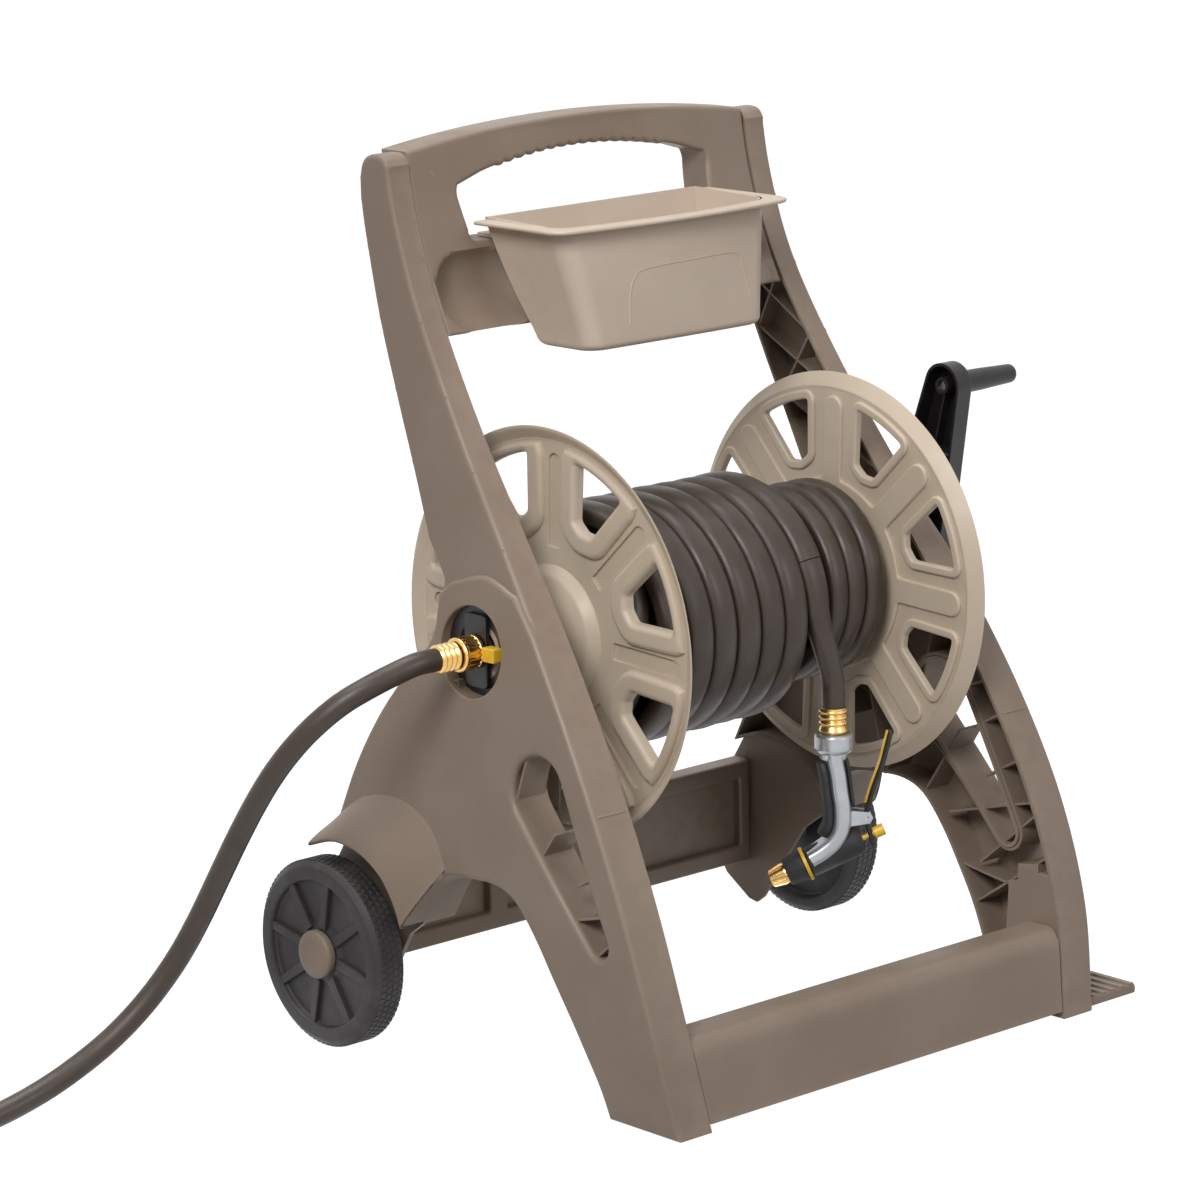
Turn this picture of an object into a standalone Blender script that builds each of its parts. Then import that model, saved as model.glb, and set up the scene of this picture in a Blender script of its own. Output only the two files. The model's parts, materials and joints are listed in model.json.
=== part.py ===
# Hose reel cart: a moulded frame on two wheels that carries a crank-wound hose reel,
# with a tool bin under the handle, a leader hose at the inlet and a spray nozzle.
# Metres. X runs along the reel's axis towards the crank, Y from the front bar to the
# wheels, Z up, with the ground at Z = 0 and the reel's axis at Y = 0.

import math

import bmesh
import bpy
from mathutils import Matrix, Vector

for old in list(bpy.data.objects):
    bpy.data.objects.remove(old, do_unlink=True)

# Driving dimensions
AXIS_Z = 0.404                 # height of the reel's axis
AXLE_Y = 0.1785                # the wheels' axis behind the reel's axis
WHEEL_R = 0.0906
WHEEL_IN, WHEEL_OUT = 0.2835, 0.3200
RIGHT_WHEEL_SET_OUT = 0.0240   # the right wheel stands further out on a longer hub
CAP_OUT = 0.3265               # outer face of a wheel's hub cap
GRIP_OUT = 0.3935              # end of the crank's grip
FLANGE_R = 0.1960
LEFT_PLATE = (-0.1705, -0.1670)
RIGHT_PLATE = (0.1895, 0.1930)
HOSE_R = 0.0107                # a garden hose of 16 mm bore
GAP = 0.0003                   # clearance between touching pieces
FOOT_FRONT = 0.268
SHIFT = (-(GRIP_OUT - CAP_OUT) / 2, -(AXLE_Y + WHEEL_R - FOOT_FRONT) / 2, 0)

# The side frames: sections against height
FRAME_DEPTH = 0.037
FRAME_WALL = 0.0035
FRAME_OUTER = ((0.0, 0.2675), (0.1, 0.279), (0.2, 0.281), (0.3, 0.276), (0.4, 0.267),
               (0.5, 0.2565), (0.6, 0.2465), (0.7, 0.2400), (0.85, 0.2400))
FRAME_SLIM = ((0.0, 1.0), (0.36, 1.0), (0.62, 0.73), (0.85, 0.73))
FRONT_LINE = ((0.0, -FOOT_FRONT), (0.1, -0.2485), (0.2, -0.215), (0.3, -0.1655), (0.4, -0.103),
              (0.5, -0.033), (0.6, 0.038), (0.7, 0.0975), (0.78, 0.127), (0.85, 0.141))
POST_TOP = ((0.1365, 0.832), (0.1415, 0.839), (0.150, 0.842), (0.164, 0.841), (0.1735, 0.834),
            (0.178, 0.820))
POST_REAR = ((0.178, 0.80), (0.172, 0.762), (0.155, 0.69), (0.127, 0.618), (0.096, 0.548),
             (0.074, 0.497))
BODY_REAR = ((0.049, 0.463), (0.055, 0.411), (0.086, 0.375), (0.124, 0.329), (0.157, 0.276),
             (0.184, 0.217))
FENDER_LIP = ((0.198, 0.191), (0.170, 0.200), (0.149, 0.2015), (0.120, 0.196), (0.092, 0.180),
              (0.074, 0.157), (0.066, 0.136))
FENDER_RIDGE = ((0.184, 0.217), (0.168, 0.231), (0.145, 0.245), (0.110, 0.2525), (0.075, 0.249),
                (0.044, 0.231), (0.026, 0.198))
ARCH = ((0.047, 0.166), (0.029, 0.1885), (-0.010, 0.1945), (-0.044, 0.1945), (-0.070, 0.184),
        (-0.095, 0.156), (-0.118, 0.121), (-0.139, 0.087), (-0.156, 0.054), (-0.168, 0.028),
        (-0.177, 0.0))
SHOULDER = ((-0.055, 0.462), (-0.012, 0.475), (0.034, 0.463))
PLATEAU = 0.005                # how far the lower body stands proud of the post
SLOT_TOP = (-0.098, 0.290, 0.0335)
SLOT_TIP = (-0.181, 0.166, 0.0120)
FENDER_OUT = 0.031
PLATE_FOOT = ((0.088, 0.128), (0.111, 0.112), (0.141, 0.068), (0.164, 0.030), (0.173, 0.023),
              (0.184, 0.025), (0.219, 0.045), (0.228, 0.055), (0.226, 0.150))
HUB_HOLE_R = 0.0420
BUSHING_R = HUB_HOLE_R - 0.0004

# The hoses
WOUND_HOSE_R = 0.0120           # the wound turns lie pressed wider than the free hose
WOUND_R = 0.1057               # centre line of the outer layer of turns
UNDER_R = 0.0803               # centre line of the layer below it
OUTER_TURNS = 7
UNDER_SHOWN_TURNS = 3
UNDER_HIDDEN_TURNS = 1.5
WINDING_X = (-0.1474, 0.1727)
SHOWN_TO_X = 0.0989
OFF_X = 0.0640                 # where the free end leaves the reel, level with its axis
LOOP_POINTS = 24
TAIL_X, TAIL_Y = 0.0853, -0.1070
TAIL_TOP_Z = AXIS_Z - 2 * HOSE_R
TAIL_PLUMB_Z, TAIL_FOOT_Z = 0.3300, 0.3063
LEADER_ROUTE = ((-0.3133, 0.0, 0.4045), (-0.335, 0.001, 0.4025), (-0.358, 0.004, 0.398),
                (-0.383, 0.0095, 0.3895), (-0.406, 0.020, 0.377), (-0.4245, 0.034, 0.359),
                (-0.4375, 0.050, 0.338), (-0.448, 0.068, 0.312), (-0.456, 0.0865, 0.282),
                (-0.4655, 0.105, 0.2455), (-0.475, 0.1235, 0.206), (-0.486, 0.141, 0.166),
                (-0.501, 0.157, 0.1285), (-0.525, 0.171, 0.093), (-0.5575, 0.181, 0.0635),
                (-0.597, 0.1875, 0.041), (-0.640, 0.190, 0.0255), (-0.690, 0.190, 0.0155),
                (-0.745, 0.190, 0.0115), (-0.810, 0.190, 0.0113), (-0.905, 0.190, 0.0113))
COIL_CENTRE = (-0.927, 0.0655)
COIL_R = (0.1245, 0.1110)
COIL_TURN = 270.0
COIL_LIFT_FROM = 215.0         # from here the coil rises to the height of the tap coupling
GROUND_HOSE_Z = 0.0113
TAP_END_Z = 0.0164

FINISHES = {
    "frame": ((0.235, 0.185, 0.150), 0.50, 0.0),
    "tan": ((0.560, 0.460, 0.355), 0.48, 0.0),
    "black": ((0.022, 0.020, 0.020), 0.45, 0.0),
    "tyre": ((0.030, 0.029, 0.031), 0.62, 0.0),
    "hose": ((0.055, 0.040, 0.030), 0.55, 0.0),
    "brass": ((0.700, 0.480, 0.200), 0.30, 1.0),
    "steel": ((0.560, 0.560, 0.570), 0.35, 1.0),
    "silver": ((0.520, 0.530, 0.550), 0.32, 0.9),
    "yellow": ((0.850, 0.520, 0.030), 0.45, 0.0),
    "rubber": ((0.018, 0.018, 0.018), 0.80, 0.0),
}


# Shape helpers

def steps(low, high, count):
    return [low + (high - low) * i / count for i in range(count + 1)]


def at_height(table, z):
    """Smooth value of a (height, value) table at height z."""
    rows = list(table)
    i = max(0, min(len(rows) - 2, sum(1 for h, _ in rows[1:] if h <= z)))
    (z0, v0), (z1, v1) = rows[i], rows[i + 1]
    before = rows[i - 1] if i > 0 else (2 * z0 - z1, 2 * v0 - v1)
    after = rows[i + 2] if i + 2 < len(rows) else (2 * z1 - z0, 2 * v1 - v0)
    t = min(max((z - z0) / (z1 - z0), 0.0), 1.0)
    m0 = (v1 - before[1]) / (z1 - before[0]) * (z1 - z0)
    m1 = (after[1] - v0) / (after[0] - z0) * (z1 - z0)
    t2, t3 = t * t, t * t * t
    return (2 * t3 - 3 * t2 + 1) * v0 + (t3 - 2 * t2 + t) * m0 + (3 * t2 - 2 * t3) * v1 + (t3 - t2) * m1


def smooth(points, per_span):
    """A smooth curve through the points, with per_span steps between two of them."""
    pts = [Vector(p) for p in points]
    ends = [2 * pts[0] - pts[1]] + pts + [2 * pts[-1] - pts[-2]]
    out = []
    for i in range(1, len(ends) - 2):
        a, b, c, d = ends[i - 1:i + 3]
        for k in range(per_span):
            t = k / per_span
            out.append(0.5 * (2 * b + (c - a) * t + (2 * a - 5 * b + 4 * c - d) * t * t
                              + (3 * b - a - 3 * c + d) * t ** 3))
    out.append(pts[-1])
    return out


def arc(centre, radius, start, end, count):
    return [(centre[0] + radius * math.cos(math.radians(a)), centre[1] + radius * math.sin(math.radians(a)))
            for a in steps(start, end, count)]


def inset(outline, distance):
    """The closed outline, given anticlockwise, moved inwards by distance."""
    out = []
    count = len(outline)
    for i in range(count):
        before, here, after = (Vector(outline[(i + k) % count]) for k in (-1, 0, 1))
        d0, d1 = (here - before).normalized(), (after - here).normalized()
        n0, n1 = Vector((-d0.y, d0.x)), Vector((-d1.y, d1.x))
        middle = (n0 + n1).normalized()
        out.append(tuple(here + middle * distance / max(middle.dot(n0), 0.5)))
    return out


def teardrop(grow):
    """The frame's long slot, from its round top to its narrow tip."""
    (y0, z0, r0), (y1, z1, r1) = SLOT_TOP, SLOT_TIP
    run = math.hypot(y1 - y0, z1 - z0)
    heading = math.degrees(math.atan2(z1 - z0, y1 - y0))
    lean = math.degrees(math.acos((r0 - r1) / run))
    tip = arc((y1, z1), r1 + grow, heading - lean, heading + lean, 4)
    top = arc((y0, z0), r0 + grow, heading + lean, heading - lean + 360, 9)
    return tip + top


# Object helpers

def material(kind):
    made = bpy.data.materials.get(kind)
    if made:
        return made
    colour, rough, metal = FINISHES[kind]
    made = bpy.data.materials.new(kind)
    made.use_nodes = True
    shader = made.node_tree.nodes["Principled BSDF"]
    shader.inputs["Base Color"].default_value = (*colour, 1.0)
    shader.inputs["Roughness"].default_value = rough
    shader.inputs["Metallic"].default_value = metal
    made.diffuse_color = (*colour, 1.0)
    return made


def empty(name, place, parent=None, turn=(0, 0, 0)):
    obj = bpy.data.objects.new(name, None)
    bpy.context.scene.collection.objects.link(obj)
    obj.parent = parent
    obj.location = place
    obj.rotation_euler = turn
    return obj


def piece(name, bm, kind="frame", parent=None, place=(0, 0, 0), sharp=32):
    """Turn a bmesh into an object with outward faces and smooth round sides."""
    bmesh.ops.recalc_face_normals(bm, faces=bm.faces)
    mesh = bpy.data.meshes.new(name)
    bm.to_mesh(mesh)
    bm.free()
    mesh.shade_smooth()
    mesh.set_sharp_from_angle(angle=math.radians(sharp))
    obj = bpy.data.objects.new(name, mesh)
    bpy.context.scene.collection.objects.link(obj)
    mesh.materials.append(material(kind))
    obj.parent = parent
    obj.location = place
    return obj


def combine(target, tool, operation="DIFFERENCE"):
    """Cut a hidden tool out of the target, or join it on."""
    tool.hide_render = True
    tool.display_type = "WIRE"
    mod = target.modifiers.new(tool.name, "BOOLEAN")
    mod.operation = operation
    mod.object = tool
    return target


def evaluated_bmesh(obj):
    """The mesh of a flat blank with its modifiers applied, as a bmesh."""
    obj.hide_render = True
    obj.display_type = "WIRE"
    bpy.context.view_layer.update()
    mesh = bpy.data.meshes.new_from_object(obj.evaluated_get(bpy.context.evaluated_depsgraph_get()))
    bm = bmesh.new()
    bm.from_mesh(mesh)
    bpy.data.meshes.remove(mesh)
    return bm


def slab(outline, low, high, axis="X"):
    """A closed outline carried from low to high along an axis."""
    bm = bmesh.new()
    order = {"X": lambda p, t: (t, p[0], p[1]), "Y": lambda p, t: (p[0], t, p[1]),
             "Z": lambda p, t: (p[0], p[1], t)}[axis]
    rings = [[bm.verts.new(order(p, t)) for p in outline] for t in (low, high)]
    bm.faces.new(rings[0])
    bm.faces.new(rings[1])
    count = len(outline)
    for i in range(count):
        k = (i + 1) % count
        bm.faces.new((rings[0][i], rings[0][k], rings[1][k], rings[1][i]))
    bmesh.ops.recalc_face_normals(bm, faces=bm.faces)
    return bm


def box(low, high):
    corners = ((low[1], low[2]), (high[1], low[2]), (high[1], high[2]), (low[1], high[2]))
    return slab(corners, low[0], high[0])


def turned(profile, sides=32, axis="X", start=0.0):
    """A closed profile of (along, radius) points spun round an axis."""
    bm = bmesh.new()
    rings = []
    for along, radius in profile:
        if radius < 1e-9:
            rings.append([bm.verts.new((along, 0, 0))] * sides)
        else:
            rings.append([bm.verts.new((along, radius * math.cos(start + 2 * math.pi * k / sides),
                                        radius * math.sin(start + 2 * math.pi * k / sides)))
                          for k in range(sides)])
    for i in range(len(rings)):
        one, two = rings[i], rings[(i + 1) % len(rings)]
        for k in range(sides):
            n = (k + 1) % sides
            corners = [one[k], one[n], two[n], two[k]]
            unique = [v for j, v in enumerate(corners) if v not in corners[:j]]
            if len(unique) > 2:
                bm.faces.new(unique)
    if axis == "Z":
        bmesh.ops.rotate(bm, verts=bm.verts, matrix=Matrix.Rotation(-math.pi / 2, 3, "Y"))
    if axis == "Y":
        bmesh.ops.rotate(bm, verts=bm.verts, matrix=Matrix.Rotation(math.pi / 2, 3, "Z"))
    bmesh.ops.recalc_face_normals(bm, faces=bm.faces)
    return bm


def ring(x0, x1, inner, outer, sides=32):
    return turned(((x0, inner), (x0, outer), (x1, outer), (x1, inner)), sides)


def rod(x0, x1, radius, sides=24, axis="X"):
    return turned(((x0, 0), (x0, radius), (x1, radius), (x1, 0)), sides, axis)


def moved(bm, offset):
    bmesh.ops.translate(bm, verts=bm.verts, vec=offset)
    return bm


def merged(*parts):
    """Several closed shapes in one bmesh, for use as a cutter."""
    whole = bmesh.new()
    for part in parts:
        mesh = bpy.data.meshes.new("part")
        part.to_mesh(mesh)
        part.free()
        whole.from_mesh(mesh)
        bpy.data.meshes.remove(mesh)
    return whole


def rib(start, end, thick, low, high, axis="X"):
    """A thin wall between two points of a plane, as a slab."""
    a, b = Vector(start), Vector(end)
    side = Vector((-(b - a).y, (b - a).x)).normalized() * thick / 2
    return slab([tuple(a + side), tuple(a - side), tuple(b - side), tuple(b + side)], low, high, axis)


def swept(path, section, normal, rows=None):
    """A closed section of (across, along normal) points carried along a path in a plane.
    The section may change along the path, and rows takes only a stretch of it."""
    bm = bmesh.new()
    rings = []
    for i, here in enumerate(path):
        before, after = path[max(i - 1, 0)], path[min(i + 1, len(path) - 1)]
        across = (after - before).normalized().cross(normal)
        shape = section(i / (len(path) - 1)) if callable(section) else section
        if rows is None or rows[0] <= i < rows[1]:
            rings.append([bm.verts.new(here + across * s + normal * n) for s, n in shape])
    count = len(rings[0])
    bm.faces.new(rings[0])
    bm.faces.new(rings[-1])
    for one, two in zip(rings, rings[1:]):
        for k in range(count):
            n = (k + 1) % count
            bm.faces.new((one[k], one[n], two[n], two[k]))
    bmesh.ops.recalc_face_normals(bm, faces=bm.faces)
    return bm


def tube(name, points, radius, kind, resolution, parent):
    """A hose as a curve with a round bevel and closed ends."""
    curve = bpy.data.curves.new(name, "CURVE")
    curve.dimensions = "3D"
    curve.bevel_depth = radius
    curve.bevel_resolution = resolution
    curve.use_fill_caps = True
    line = curve.splines.new("POLY")
    line.points.add(len(points) - 1)
    for spot, point in zip(line.points, points):
        spot.co = (*point, 1.0)
    line.use_smooth = True
    curve.materials.append(material(kind))
    obj = bpy.data.objects.new(name, curve)
    bpy.context.scene.collection.objects.link(obj)
    obj.parent = parent
    return obj


def even_points(points, spacing):
    """Points a steady distance apart along a smooth curve through the given ones."""
    fine = smooth(points, 24)
    lengths = [0.0]
    for a, b in zip(fine, fine[1:]):
        lengths.append(lengths[-1] + (b - a).length)
    count = round(lengths[-1] / spacing)
    out, i = [], 0
    for wanted in steps(0, lengths[-1], count):
        while i < len(fine) - 2 and lengths[i + 1] < wanted:
            i += 1
        t = (wanted - lengths[i]) / (lengths[i + 1] - lengths[i])
        out.append(fine[i].lerp(fine[i + 1], min(max(t, 0.0), 1.0)))
    return out


cart = empty("cart_frame", SHIFT)
reel_axis = empty("reel_axis", (0, 0, AXIS_Z), cart)


# Side frames, drawn flat with the outer face at X = 0 and then given their belly

def flat_to_cart(bm, levels):
    """Split the flat frame at some heights and lay it on the curved outer face."""
    for z in levels:
        whole = bm.verts[:] + bm.edges[:] + bm.faces[:]
        bmesh.ops.bisect_plane(bm, geom=whole, plane_co=(0, 0, z), plane_no=(0, 0, 1), dist=1e-6)
    bmesh.ops.triangulate(bm, faces=bm.faces)
    for v in bm.verts:
        v.co.x = at_height(FRAME_OUTER, v.co.z) + v.co.x * at_height(FRAME_SLIM, v.co.z)
    return bm


FRONT_STEPS = steps(0, 0.825, 7)


def frame_outline():
    front = [(at_height(FRONT_LINE, z), z) for z in FRONT_STEPS]
    outline = front + list(POST_TOP + POST_REAR + BODY_REAR + FENDER_LIP + ARCH)
    return [tuple(p)[:2] for p in outline][::-1]


def plateau_outline():
    front = [(at_height(FRONT_LINE, z), z) for z in FRONT_STEPS if z < 0.44]
    outline = front + list(SHOULDER + BODY_REAR[1:] + FENDER_LIP + ARCH)
    return [tuple(p)[:2] for p in outline][::-1]


def fender(low, lip_high, ridge_high, shrink, trim):
    """The bulge over the wheel: a band between the ridge and the lip, swept as a wedge."""
    lips = smooth(FENDER_LIP, 1)
    ridges = smooth(FENDER_RIDGE, 1)
    if trim:
        lips = [lips[0].lerp(lips[1], trim)] + lips[1:-1] + [lips[-1].lerp(lips[-2], trim)]
        ridges = [ridges[0].lerp(ridges[1], trim)] + ridges[1:-1] + [ridges[-1].lerp(ridges[-2], trim)]
    bm = bmesh.new()
    rings = []
    for lip, ridge in zip(lips, ridges):
        inward = (lip - ridge).normalized() * shrink
        l, r = lip - inward, ridge + inward
        rings.append([bm.verts.new(c) for c in ((low, *r), (ridge_high, *r), (lip_high, *l), (low, *l))])
    bm.faces.new(rings[0])
    bm.faces.new(rings[-1])
    for one, two in zip(rings, rings[1:]):
        for k in range(4):
            n = (k + 1) % 4
            bm.faces.new((one[k], one[n], two[n], two[k]))
    bmesh.ops.recalc_face_normals(bm, faces=bm.faces)
    return bm


def frame_ribs():
    """The crossed stiffening ribs inside the post, the front leg and the lower body."""
    ribs = []
    heights = steps(0.500, 0.670, 2)
    rear_line = ((0.49, 0.071), (0.548, 0.096), (0.618, 0.127), (0.69, 0.155))
    for low, high in zip(heights, heights[1:]):
        ribs.append(((at_height(FRONT_LINE, low), low), (at_height(rear_line, high), high)))
    ribs += [((-0.200, 0.232), (-0.160, 0.196)),
             ((-0.118, 0.205), (-0.060, 0.260)), ((-0.060, 0.260), (-0.012, 0.193)),
             ((-0.012, 0.193), (0.022, 0.372)), ((0.030, 0.246), (0.118, 0.330))]
    return ribs


def side_frame_flat():
    outline = frame_outline()
    body = piece("frame_body", slab(outline, -FRAME_DEPTH, 0))
    combine(body, piece("frame_plateau", slab(plateau_outline(), -0.002, PLATEAU)), "UNION")
    combine(body, piece("frame_fender", fender(-FRAME_DEPTH, FENDER_OUT, PLATEAU - 0.0005, 0.0, 0.0)), "UNION")

    pocket = piece("frame_pocket", slab(inset(outline, FRAME_WALL), -FRAME_DEPTH - 0.01, -FRAME_WALL))
    hub = moved(rod(-FRAME_DEPTH - 0.02, 0.01, HUB_HOLE_R + 0.0045, 24), (0, 0, AXIS_Z))
    combine(pocket, piece("hub_wall", hub))
    combine(pocket, piece("slot_wall", slab(teardrop(0.003), -FRAME_DEPTH - 0.02, 0.01)))
    socket = [(-0.30, -0.01), (-0.184, -0.01), (-0.184, 0.118), (-0.196, 0.121), (-0.196, 0.137),
              (-0.222, 0.141), (-0.222, 0.133), (-0.26, 0.133)]
    combine(pocket, piece("bar_socket", slab(socket, -FRAME_DEPTH - 0.02, 0.01)))
    for i, (a, b) in enumerate(frame_ribs()):
        combine(pocket, piece("frame_rib_%02d" % i, rib(a, b, 0.0025, -0.031, 0.01)))
    combine(body, pocket)
    combine(body, piece("fender_hollow", fender(-0.06, FENDER_OUT - 0.0035, -0.0035, 0.0035, 0.16)))

    axle = Vector((AXLE_Y, WHEEL_R))
    plate_top = [tuple(p + (p - axle).normalized() * 0.0015) for p in smooth(FENDER_LIP, 1)]
    plate = piece("axle_plate", slab(plate_top + list(PLATE_FOOT), -0.0235, -0.0180))
    combine(body, plate, "UNION")
    boss = moved(rod(-0.0200, 0.0015, 0.0130, 12), (0, AXLE_Y, WHEEL_R))
    combine(body, piece("axle_boss", boss), "UNION")

    combine(body, piece("foot_hollow", box((-0.034, -0.2430, -0.01), (-FRAME_WALL, -0.1880, 0.110))))
    holes = merged(slab(teardrop(0.0), -0.1, 0.1),
                   moved(rod(-0.1, 0.1, HUB_HOLE_R, 24), (0, 0, AXIS_Z)),
                   moved(rod(-0.1, 0.1, 0.0067, 10), (0, AXLE_Y, WHEEL_R)))
    combine(body, piece("frame_holes", holes))
    bm = flat_to_cart(evaluated_bmesh(body), (0.10, 0.20, 0.36, 0.62))
    return bm


PANEL_SCREW_Z = (0.715, 0.795)
SCREW_X = 0.2215
POST_BACK = ((0.69, 0.155), (0.762, 0.172), (0.80, 0.178), (0.82, 0.178))


def hole(name, target, place, length, radius, axis="X", sides=10):
    """Bore a round hole of that length, starting at place."""
    bm = moved(rod(0, length, radius, sides, axis), place)
    combine(target, piece(name, bm, "frame", cart))


def side_frame(name, side, base):
    bm = bmesh.new()
    bm.from_mesh(base)
    if side < 0:
        bmesh.ops.scale(bm, verts=bm.verts, vec=(-1, 1, 1))
    frame = piece(name, bm, "frame", cart)
    seat = box((0.20, 0.1800, 0.055), (0.2542, 0.2260, 0.1775))
    if side < 0:
        bmesh.ops.scale(seat, verts=seat.verts, vec=(-1, 1, 1))
        bmesh.ops.reverse_faces(seat, faces=seat.faces)
    combine(frame, piece(name + "_beam_seat", seat, "frame", cart))
    hole(name + "_bar_hole", frame, (side * 0.2425 - 0.0175, -0.235, 0.055), 0.035, 0.0022)
    hole(name + "_beam_hole", frame, (side * 0.2575 - 0.0175, 0.199, 0.135), 0.035, 0.0024)
    for i, z in enumerate(PANEL_SCREW_Z):
        back = at_height(POST_BACK, z)
        hole("%s_panel_hole_%d" % (name, i), frame, (side * SCREW_X, 0.12, z), 0.08, 0.0024, "Y")
        hole("%s_spot_face_%d" % (name, i), frame, (side * SCREW_X, back - 0.0016, z), 0.02, 0.0056, "Y", 9)
    return frame


def foot_step(frame):
    """The ridged tread that the user's foot holds down while winding."""
    tread = [(0.2670, 0.0090), (0.2670, 0.0004), (0.338, 0.0004), (0.340, 0.003), (0.340, 0.0075)]
    for k in range(5):
        x = 0.338 - k * 0.013
        tread += [(x, 0.0110), (x - 0.0065, 0.0110), (x - 0.0075, 0.0090), (x - 0.0120, 0.0090)]
    combine(frame, piece("foot_step", slab(tread, -0.2610, -0.1790, "Y"), "frame", cart), "UNION")


def side_frames():
    base = bpy.data.meshes.new("frame_base")
    bm = side_frame_flat()
    bm.to_mesh(base)
    bm.free()
    side_frame("left_side_frame", -1, base)
    foot_step(side_frame("right_side_frame", 1, base))
    bpy.data.meshes.remove(base)


side_frames()


# Handle panel, drawn flat with its front face at Y = 0 and then leaned like the posts

PANEL_HALF = 0.2125
PANEL_LOW, PANEL_TOP = 0.677, 0.8580
PANEL_DEEP = 0.036


def grip_edge(x):
    """Height of the hand hole's arched upper edge."""
    return 0.8305 - 0.016 * (x / 0.13) ** 2


def scoop(side, grow):
    """The rounded recess in the panel's lower half, beside the bin."""
    bm = turned(((-0.05 - grow, 0), (-0.047 - grow, 0.022), (-0.025, 0.044 + grow), (0.025, 0.044 + grow),
                 (0.047 + grow, 0.022), (0.05 + grow, 0)), 9)
    return moved(bm, (side * 0.150, -0.0250, 0.715))


def handle_panel():
    top = [(x, PANEL_TOP - 0.0150 * (x / PANEL_HALF) ** 2) for x in steps(PANEL_HALF, -PANEL_HALF, 8)]
    outline = top + [(-PANEL_HALF, PANEL_LOW), (PANEL_HALF, PANEL_LOW)]
    panel = piece("panel_flat", slab(outline, 0, PANEL_DEEP, "Y"))
    window = [(x, grip_edge(x)) for x in steps(0.125, -0.125, 10)]
    window += arc((-0.1405, 0.798), 0.017, 150, 185, 3) + [(-0.1525, 0.766)]
    window += arc((-0.1435, 0.7645), 0.0095, 190, 270, 3) + arc((0.1435, 0.7645), 0.0095, 270, 350, 3)
    window += [(0.1525, 0.766)] + arc((0.1405, 0.798), 0.017, -5, 30, 3)
    hollow = piece("panel_hollow", slab(inset(outline, 0.003), 0.003, PANEL_DEEP + 0.01, "Y"))
    combine(hollow, piece("hand_wall", slab(inset(window, -0.003), -0.01, PANEL_DEEP + 0.02, "Y")))
    for x in (-0.06, 0.06):
        combine(hollow, piece("panel_rib_%d" % round(x * 100), rib((x, 0.67), (x, 0.760), 0.0025, -0.01, 0.028, "Y")))
    for side in (-1, 1):
        combine(hollow, piece("scoop_wall", scoop(side, 0.003)))
    combine(panel, hollow)
    tongues = [box((side * 0.2195 - 0.0085, 0.0065, 0.700), (side * 0.2195 + 0.0085, 0.0300, 0.812))
               for side in (-1, 1)]
    combine(panel, piece("panel_tongues", merged(*tongues)), "UNION")
    for side in (-1, 1):
        combine(panel, piece("panel_scoop", scoop(side, 0.0)))
    combine(panel, piece("hand_hole", slab(window, -0.1, 0.1, "Y")))
    bm = evaluated_bmesh(panel)
    for z in (0.72, 0.76, 0.80, 0.83):
        whole = bm.verts[:] + bm.edges[:] + bm.faces[:]
        bmesh.ops.bisect_plane(bm, geom=whole, plane_co=(0, 0, z), plane_no=(0, 0, 1), dist=1e-6)
    bmesh.ops.triangulate(bm, faces=bm.faces)
    for v in bm.verts:
        v.co.y += at_height(FRONT_LINE, v.co.z) + 0.001
    made = piece("handle_panel", bm, "frame", cart)
    for side in (-1, 1):
        for z in PANEL_SCREW_Z:
            hole("panel_pilot", made, (side * SCREW_X, 0.10, z), 0.1, 0.0021, "Y")


def screw(name, place, heading, length, parent, head_r=0.0042):
    """A pan-head screw whose head's seat is at place, pointing along heading."""
    bm = turned(((0.0028, 0), (0.0022, head_r * 0.8), (0.0002, head_r), (0.0002, 0.0018), (-length, 0.0018),
                 (-length, 0)), 8)
    bmesh.ops.rotate(bm, verts=bm.verts, matrix=Vector((-1, 0, 0)).rotation_difference(Vector(heading)).to_matrix())
    return piece(name, bm, "steel", parent, place)


handle_panel()
for side, word in ((-1, "left"), (1, "right")):
    for z, level in zip(PANEL_SCREW_Z, ("lower", "upper")):
        seat = at_height(POST_BACK, z) - 0.0014
        screw("panel_screw_%s_%s" % (word, level), (side * SCREW_X, seat, z), (0, -1, 0), 0.0220, cart)


# Cross members

BAR_HALF = 0.2409               # half the bar's length along its top
BAR_SPLAY = 0.1185             # how the legs' inner faces close in towards the ground


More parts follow.
